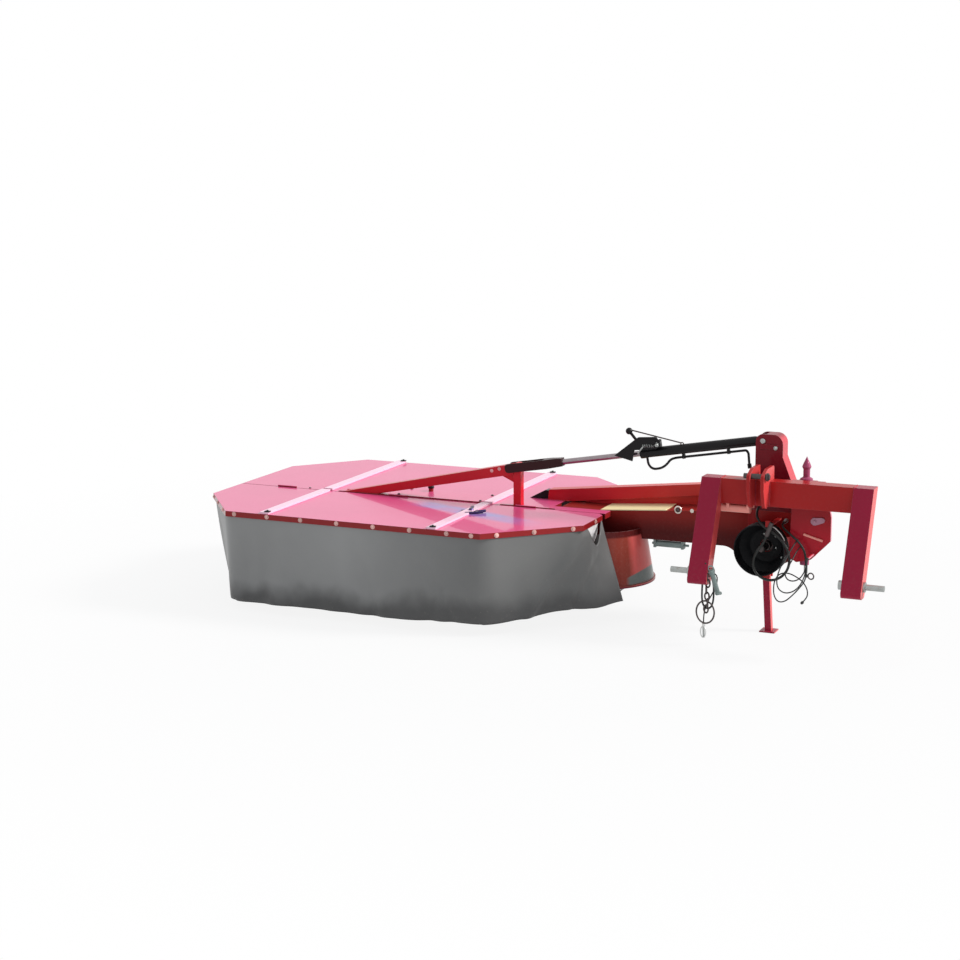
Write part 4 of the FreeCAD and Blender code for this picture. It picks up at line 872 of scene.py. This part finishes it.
# ---------------------------------------------------------------- arm and cylinder details
bm = bmesh.new()
RIVET = [(0, 0), (0.0095, 0), (0.0090, 0.0012), (0.0060, 0.0024), (0, 0.0028)]
for x, z in ((-0.276, 0.699), (-0.318, 0.687)):
    lathe(bm, RIVET, (x, -0.1048, z), TO_FRONT, 16)
finish_mesh("strut_bolts", bm, WASHER, "arm")
bm = bmesh.new()
hoop(bm, (0.654, -0.031, 0.548), TO_FRONT, 0.016, 0.004)
washer(bm, (0.726, -0.030, 0.548), TO_FRONT, 0.010, 0.002)
finish_mesh("housing_bolts", bm, BOLT, "arm")
bm = bmesh.new()
REAR_BOLTS = [(0.10, 0.49), (0.30, 0.412), (0.30, 0.535), (0.52, 0.412), (0.74, 0.412), (0.74, 0.545),
              (0.94, 0.36)]
for x, z in REAR_BOLTS:
    washer(bm, (x, 0.150, z), TO_BACK, 0.012, 0.002)
    hex_head(bm, (x, 0.1518, z), TO_BACK, 0.015, 0.007, 0.2)
finish_mesh("housing_bolts_rear", bm, BOLT, "arm")
bm = bmesh.new()
PLUG = [(0, 0), (0.010, 0), (0.011, 0.003), (0.007, 0.006), (0, 0.006)]
lathe(bm, PLUG, (0.654, -0.0302, 0.548), TO_FRONT)
finish_mesh("housing_plug", bm, DARKBOLT, "arm", True)

bm = bmesh.new()
bar(bm, (0.440, -0.126, 0.9480), (0.684, -0.090, 0.8950), 0.0034, 8)
hoop(bm, (0.690, -0.088, 0.890), (0, 1, 0.2), 0.007, 0.0030, steps=16)
finish_mesh("hook_pull_wire", bm, DARKBOLT, "barrel", True)
TURNS, STEPS, COIL = 7, 12, 9
coils = [(506, -134, 871)]
for i in range(TURNS * STEPS + 1):
    a = math.tau * i / STEPS
    t = i / (TURNS * STEPS)
    coils.append((500 + 62 * t + COIL * math.cos(a) * 0.3, -124 - COIL * math.sin(a),
                  873 + 4 * t + COIL * math.cos(a)))
coils += [(568, -131, 886), (573, -132, 885)]
cord_curve("hook_spring", coils, 3.0, ZINC, "barrel")
bm = bmesh.new()
washer(bm, (0.573, -0.1288, 0.885), TO_FRONT, 0.012, 0.002)
hex_head(bm, (0.573, -0.1306, 0.885), TO_FRONT, 0.014, 0.006)
bar(bm, (0.478, -0.134, 0.836), (0.506, -0.134, 0.872), 0.004, 10)
finish_mesh("hook_bolt", bm, ZINC, "barrel")

# crimped sleeves where the hoses leave the carrier
bm = bmesh.new()
for at, radius in (((1.115, -0.124, 0.634), 0.0095), ((1.230, -0.124, 0.560), 0.0085)):
    lathe(bm, [(radius * 1.25, 0), (radius * 1.25, 0.010), (radius, 0.012), (radius, 0.026),
               (radius * 0.86, 0.029), (radius, 0.032), (radius, 0.040), (radius * 0.8, 0.043)], at, TO_FRONT)
finish_mesh("hose_sleeves", bm, ZINC, "carrier")

# ---------------------------------------------------------------- guard fittings
# pale wire arc on the guard's rim that stands in for a highlight along the rim: a painted highlight
bm = bmesh.new()
hoop(bm, (1.145, -0.262, 0.440), TO_FRONT, 0.1265, 0.0036, 24, 74, 20, 8)
finish_mesh("guard_rim_highlight", bm, SILVER, "carrier", True)
bm = bmesh.new()
# place, facing and width of each bolt
GUARD_BOLTS = [((1.1348, -0.1658, 0.4964), TO_FRONT, 0.020),
               ((1.1930, -0.1690, 0.4899), (-0.23, -0.94, -0.25), 0.018),
               ((1.1934, -0.1658, 0.4325), TO_FRONT, 0.018),
               ((1.2302, -0.1910, 0.3924), (-0.56, -0.77, 0.31), 0.016)]
for at, facing, size in GUARD_BOLTS:
    lathe(bm, [(0, 0), (size / 2, 0), (size / 2, 0.003), (size * 0.3, 0.0085), (0, 0.010)], at, facing, 12)
finish_mesh("guard_fittings", bm, ZINC, "carrier", True)

# ---------------------------------------------------------------- headstock details
bm = bmesh.new()
washer(bm, (1.170, -0.1318, 0.907), TO_FRONT, 0.010, 0.002)
TOWER_RIVET = [(0, 0), (0.012, 0), (0.013, 0.002), (0.010, 0.0038), (0, 0.004)]
lathe(bm, TOWER_RIVET, (1.106, -0.1278, 0.937), TO_FRONT)
hex_head(bm, (1.170, -0.1336, 0.907), TO_FRONT, 0.013, 0.005, 0.2)
finish_mesh("tower_bolts", bm, ZINC, "carrier")

bm = bmesh.new()
for x in (0.958, 1.595):
    bead(bm, (x, -0.3125, 0.662), (x, -0.3125, 0.780))
    bead(bm, (x, -0.3120, 0.7805), (x, -0.2340, 0.7805))
    bead(bm, (x, -0.3120, 0.6595), (x, -0.2340, 0.6595))
for x in (1.113, 1.129, 1.181, 1.197):
    bead(bm, (x, -0.3125, 0.665), (x, -0.3125, 0.780))
finish_mesh("headstock_welds", bm, LEG_RED, "headstock", True)
bm = bmesh.new()
for y in (-0.1005, -0.0595):
    bead(bm, (-0.200, y, 0.5155), (-0.160, y, 0.5155))
for x in (-0.2005, -0.1595):
    bead(bm, (x, -0.100, 0.5155), (x, -0.060, 0.5155))
bead(bm, (-1.178, -0.1055, 0.5160), (-0.990, -0.1055, 0.5160))
bead(bm, (-1.178, -0.0545, 0.5160), (-0.990, -0.0545, 0.5160))
bead(bm, (-0.100, 0.1175, 0.5155), (0.020, 0.1175, 0.5155))
bead(bm, (-0.100, 0.1825, 0.5155), (0.020, 0.1825, 0.5155))
finish_mesh("arm_welds", bm, ARM, "arm", True)

# what hangs on the left lower-link pin: strap, wire ring, hook and a spare pin
STRAP = [(946, -480, 403), (940, -477, 392), (935, -474, 368), (930, -474, 330), (927, -474, 290),
         (926, -474, 250), (927, -474, 222), (934, -474, 194), (954, -474, 180), (974, -474, 192),
         (982, -474, 220), (984, -474, 250), (983, -473, 306), (972, -470, 332)]
strap = cord_curve("link_strap", STRAP, 9.0, ROPE, "headstock")
bm = bmesh.new()
hoop(bm, (0.946, -0.481, 0.166), (0, 1, 0.04), 0.044, 0.0042, steps=40, squeeze=1.24)
finish_mesh("link_ring", bm, DARKBOLT, "headstock", True)
bm = bmesh.new()
for k in range(6):
    at = (0.955 + 0.004 * math.sin(k * 2.1), -0.487, 0.338 - 0.031 * k)
    hoop(bm, at, (0.2, 1, 0) if k % 2 else (1, 0.25, 0), 0.0115, 0.0044, steps=18, squeeze=1.6)
finish_mesh("link_chain", bm, DARKBOLT, "headstock", True)
bm = bmesh.new()
hoop(bm, (0.934, -0.472, 0.066), (0.15, 1, 0), 0.0135, 0.0030, steps=24, squeeze=2.0)
CLIP_EYE = [(0, 0), (0.006, 0), (0.0075, 0.004), (0.0075, 0.014), (0.005, 0.018), (0, 0.018)]
lathe(bm, CLIP_EYE, (0.936, -0.472, 0.092), UPWARD, 12)
finish_mesh("link_clip", bm, SILVER, "headstock", True)
bm = bmesh.new()
bar(bm, (0.973, -0.484, 0.372), (1.009, -0.484, 0.256), 0.0115, 16)
hoop(bm, (0.971, -0.484, 0.379), TO_BACK, 0.013, 0.0035, steps=20)
bar(bm, (1.001, -0.496, 0.264), (1.018, -0.468, 0.262), 0.008, 12)
finish_mesh("spare_pin", bm, GREYCAP, "headstock")

# ropes looped up on the pivot bracket, tied at the control rope's lug
SHORT_LOOP = [(1330, -231, 462), (1329, -262, 460), (1326, -310, 444), (1318, -354, 410), (1300, -370, 376),
              (1297, -372, 350), (1312, -372, 330), (1340, -371, 327), (1368, -366, 342), (1386, -352, 376),
              (1392, -338, 412), (1392, -331, 428)]
LONG_LOOP = [(1318, -231, 498), (1317, -272, 492), (1315, -318, 478), (1300, -354, 440), (1272, -363, 390),
             (1254, -364, 330), (1260, -364, 284), (1292, -363, 263), (1332, -362, 272), (1366, -361, 304),
             (1386, -356, 350), (1392, -342, 400), (1392, -331, 434)]
for name, points, length in (("pull_line_short", SHORT_LOOP, 0.381), ("pull_line_long", LONG_LOOP, 0.565)):
    line = cord_curve(name, points, 6.0, ROPE, "headstock")
KNOT = [(0, 0), (0.005, 0.001), (0.0075, 0.005), (0.0062, 0.009), (0.0072, 0.012), (0.004, 0.016), (0, 0.017)]
bm = bmesh.new()
lathe(bm, KNOT, (1.392, -0.329, 0.432), (0, -1, -0.15), 14)
lathe(bm, KNOT, (1.394, -0.350, 0.362), (0, 0, -1), 14)
lathe(bm, KNOT, (1.381, -0.347, 0.228), (-0.7, 0, -0.7), 14)
finish_mesh("rope_knots", bm, ROPE, "headstock")
bm = bmesh.new()
hoop(bm, (1.4145, -0.350, 0.354), (0.2, 1, 0), 0.0145, 0.0034, steps=24)
finish_mesh("rope_ring", bm, DARKBOLT, "headstock", True)

# pivot bracket: stiffening rib and bolted lug on its front face; rib under the beam
# the rib is in the lit copy of the red paint: a painted highlight along it
bm = bmesh.new()
block(bm, (1.391, -0.2375, 0.513), (0.096, 0.012, 0.010), (0, 15.7, 0), 0.002)
finish_mesh("bracket_rib", bm, LIT_RED, "headstock")
# painted sunlight: this rib is in the lit copy of the red paint too
bm = bmesh.new()
block(bm, (1.035, -0.262, 0.650), (0.150, 0.012, 0.024), (0, 0, 0), 0.001)
finish_mesh("beam_rib", bm, LIT_RED, "headstock")


def lug_outline(bm, ends, y, thick, bevel):
    """A flat lug: the straight hull of round ends (x, z, radius), standing forward from y."""
    ring = []
    (xa, za, ra), (xb, zb, rb) = ends
    turn = math.atan2(zb - za, xb - xa)
    for x, z, r, start in ((xb, zb, rb, turn - math.pi / 2), (xa, za, ra, turn + math.pi / 2)):
        angles = [start + math.pi * k / 12 for k in range(13)]
        ring += [(x + r * math.cos(a), z + r * math.sin(a)) for a in angles]
    back = [bm.verts.new((x, y, z)) for x, z in ring]
    front = [bm.verts.new((x, y - thick, z)) for x, z in ring]
    face = bm.faces.new(front)
    bm.faces.new(back[::-1])
    for k in range(len(ring)):
        n = (k + 1) % len(ring)
        bm.faces.new((back[k], back[n], front[n], front[k]))
    bmesh.ops.bevel(bm, geom=list(face.edges), offset=bevel, segments=2, affect="EDGES")


bm = bmesh.new()
lug_outline(bm, ((1.396, 0.590, 0.019), (1.432, 0.598, 0.013)), -0.2315, 0.008, 0.002)
washer(bm, (1.396, -0.2390, 0.590), TO_FRONT, 0.011, 0.002)
hex_head(bm, (1.396, -0.2408, 0.590), TO_FRONT, 0.014, 0.006)
finish_mesh("bracket_lug", bm, MAUVE, "headstock")

# flange closing the seam between the arm tube and the belt housing
SEAM = [0.100 + 0.845 * k / 12 for k in range(13)]
lower = [(x, 0.513 + 51 / 700 * (x - 0.245) - 0.0015) for x in SEAM]
upper = [(x, 0.515 + 136 / 1135 * (x - 0.040) + 0.0015) for x in SEAM]
bm = bmesh.new()
sides = [[[bm.verts.new((x, y, z)) for x, z in row] for row in (lower, upper)] for y in (0.140, 0.147)]
for k in range(len(SEAM) - 1):
    for (low, high), flip in ((sides[0], 1), (sides[1], -1)):
        bm.faces.new([low[k], low[k + 1], high[k + 1], high[k]][::flip])
    for row, flip in ((0, -1), (1, 1)):
        bm.faces.new([sides[0][row][k], sides[0][row][k + 1], sides[1][row][k + 1], sides[1][row][k]][::flip])
for k in (0, len(SEAM) - 1):
    bm.faces.new([sides[0][0][k], sides[0][1][k], sides[1][1][k], sides[1][0][k]][::1 if k == 0 else -1])
finish_mesh("seam_flange", bm, ARM, "arm")

# ---------------------------------------------------------------- floor
bm = bmesh.new()
bmesh.ops.create_grid(bm, x_segments=2, y_segments=2, size=60)
floor_mat, floor_tree, floor_bsdf = nodes_of("FloorPale")
floor = mesh_object("Floor", bm, floor_mat, None, smooth=False)
floor.location.z = -0.0006
floor_bsdf.inputs["Base Color"].default_value = (0.70, 0.70, 0.70, 1)
floor_bsdf.inputs["Roughness"].default_value = 0.9
reach = floor_tree.nodes.new("ShaderNodeVectorMath")
reach.operation = "LENGTH"
link(floor_tree, floor_tree.nodes.new("ShaderNodeTexCoord").outputs["Object"], reach.inputs[0])
fade = map_range(floor_tree, reach.outputs["Value"], 1.8, 4.5, low=0.88, high=1.0)
both = floor_tree.nodes.new("ShaderNodeMixShader")
link(floor_tree, times(floor_tree, seen_directly(floor_tree), fade), both.inputs[0])
link(floor_tree, floor_bsdf.outputs[0], both.inputs[1])
link(floor_tree, floor_tree.nodes.new("ShaderNodeEmission").outputs[0], both.inputs[2])
link(floor_tree, both.outputs[0], floor_tree.nodes["Material Output"].inputs["Surface"])
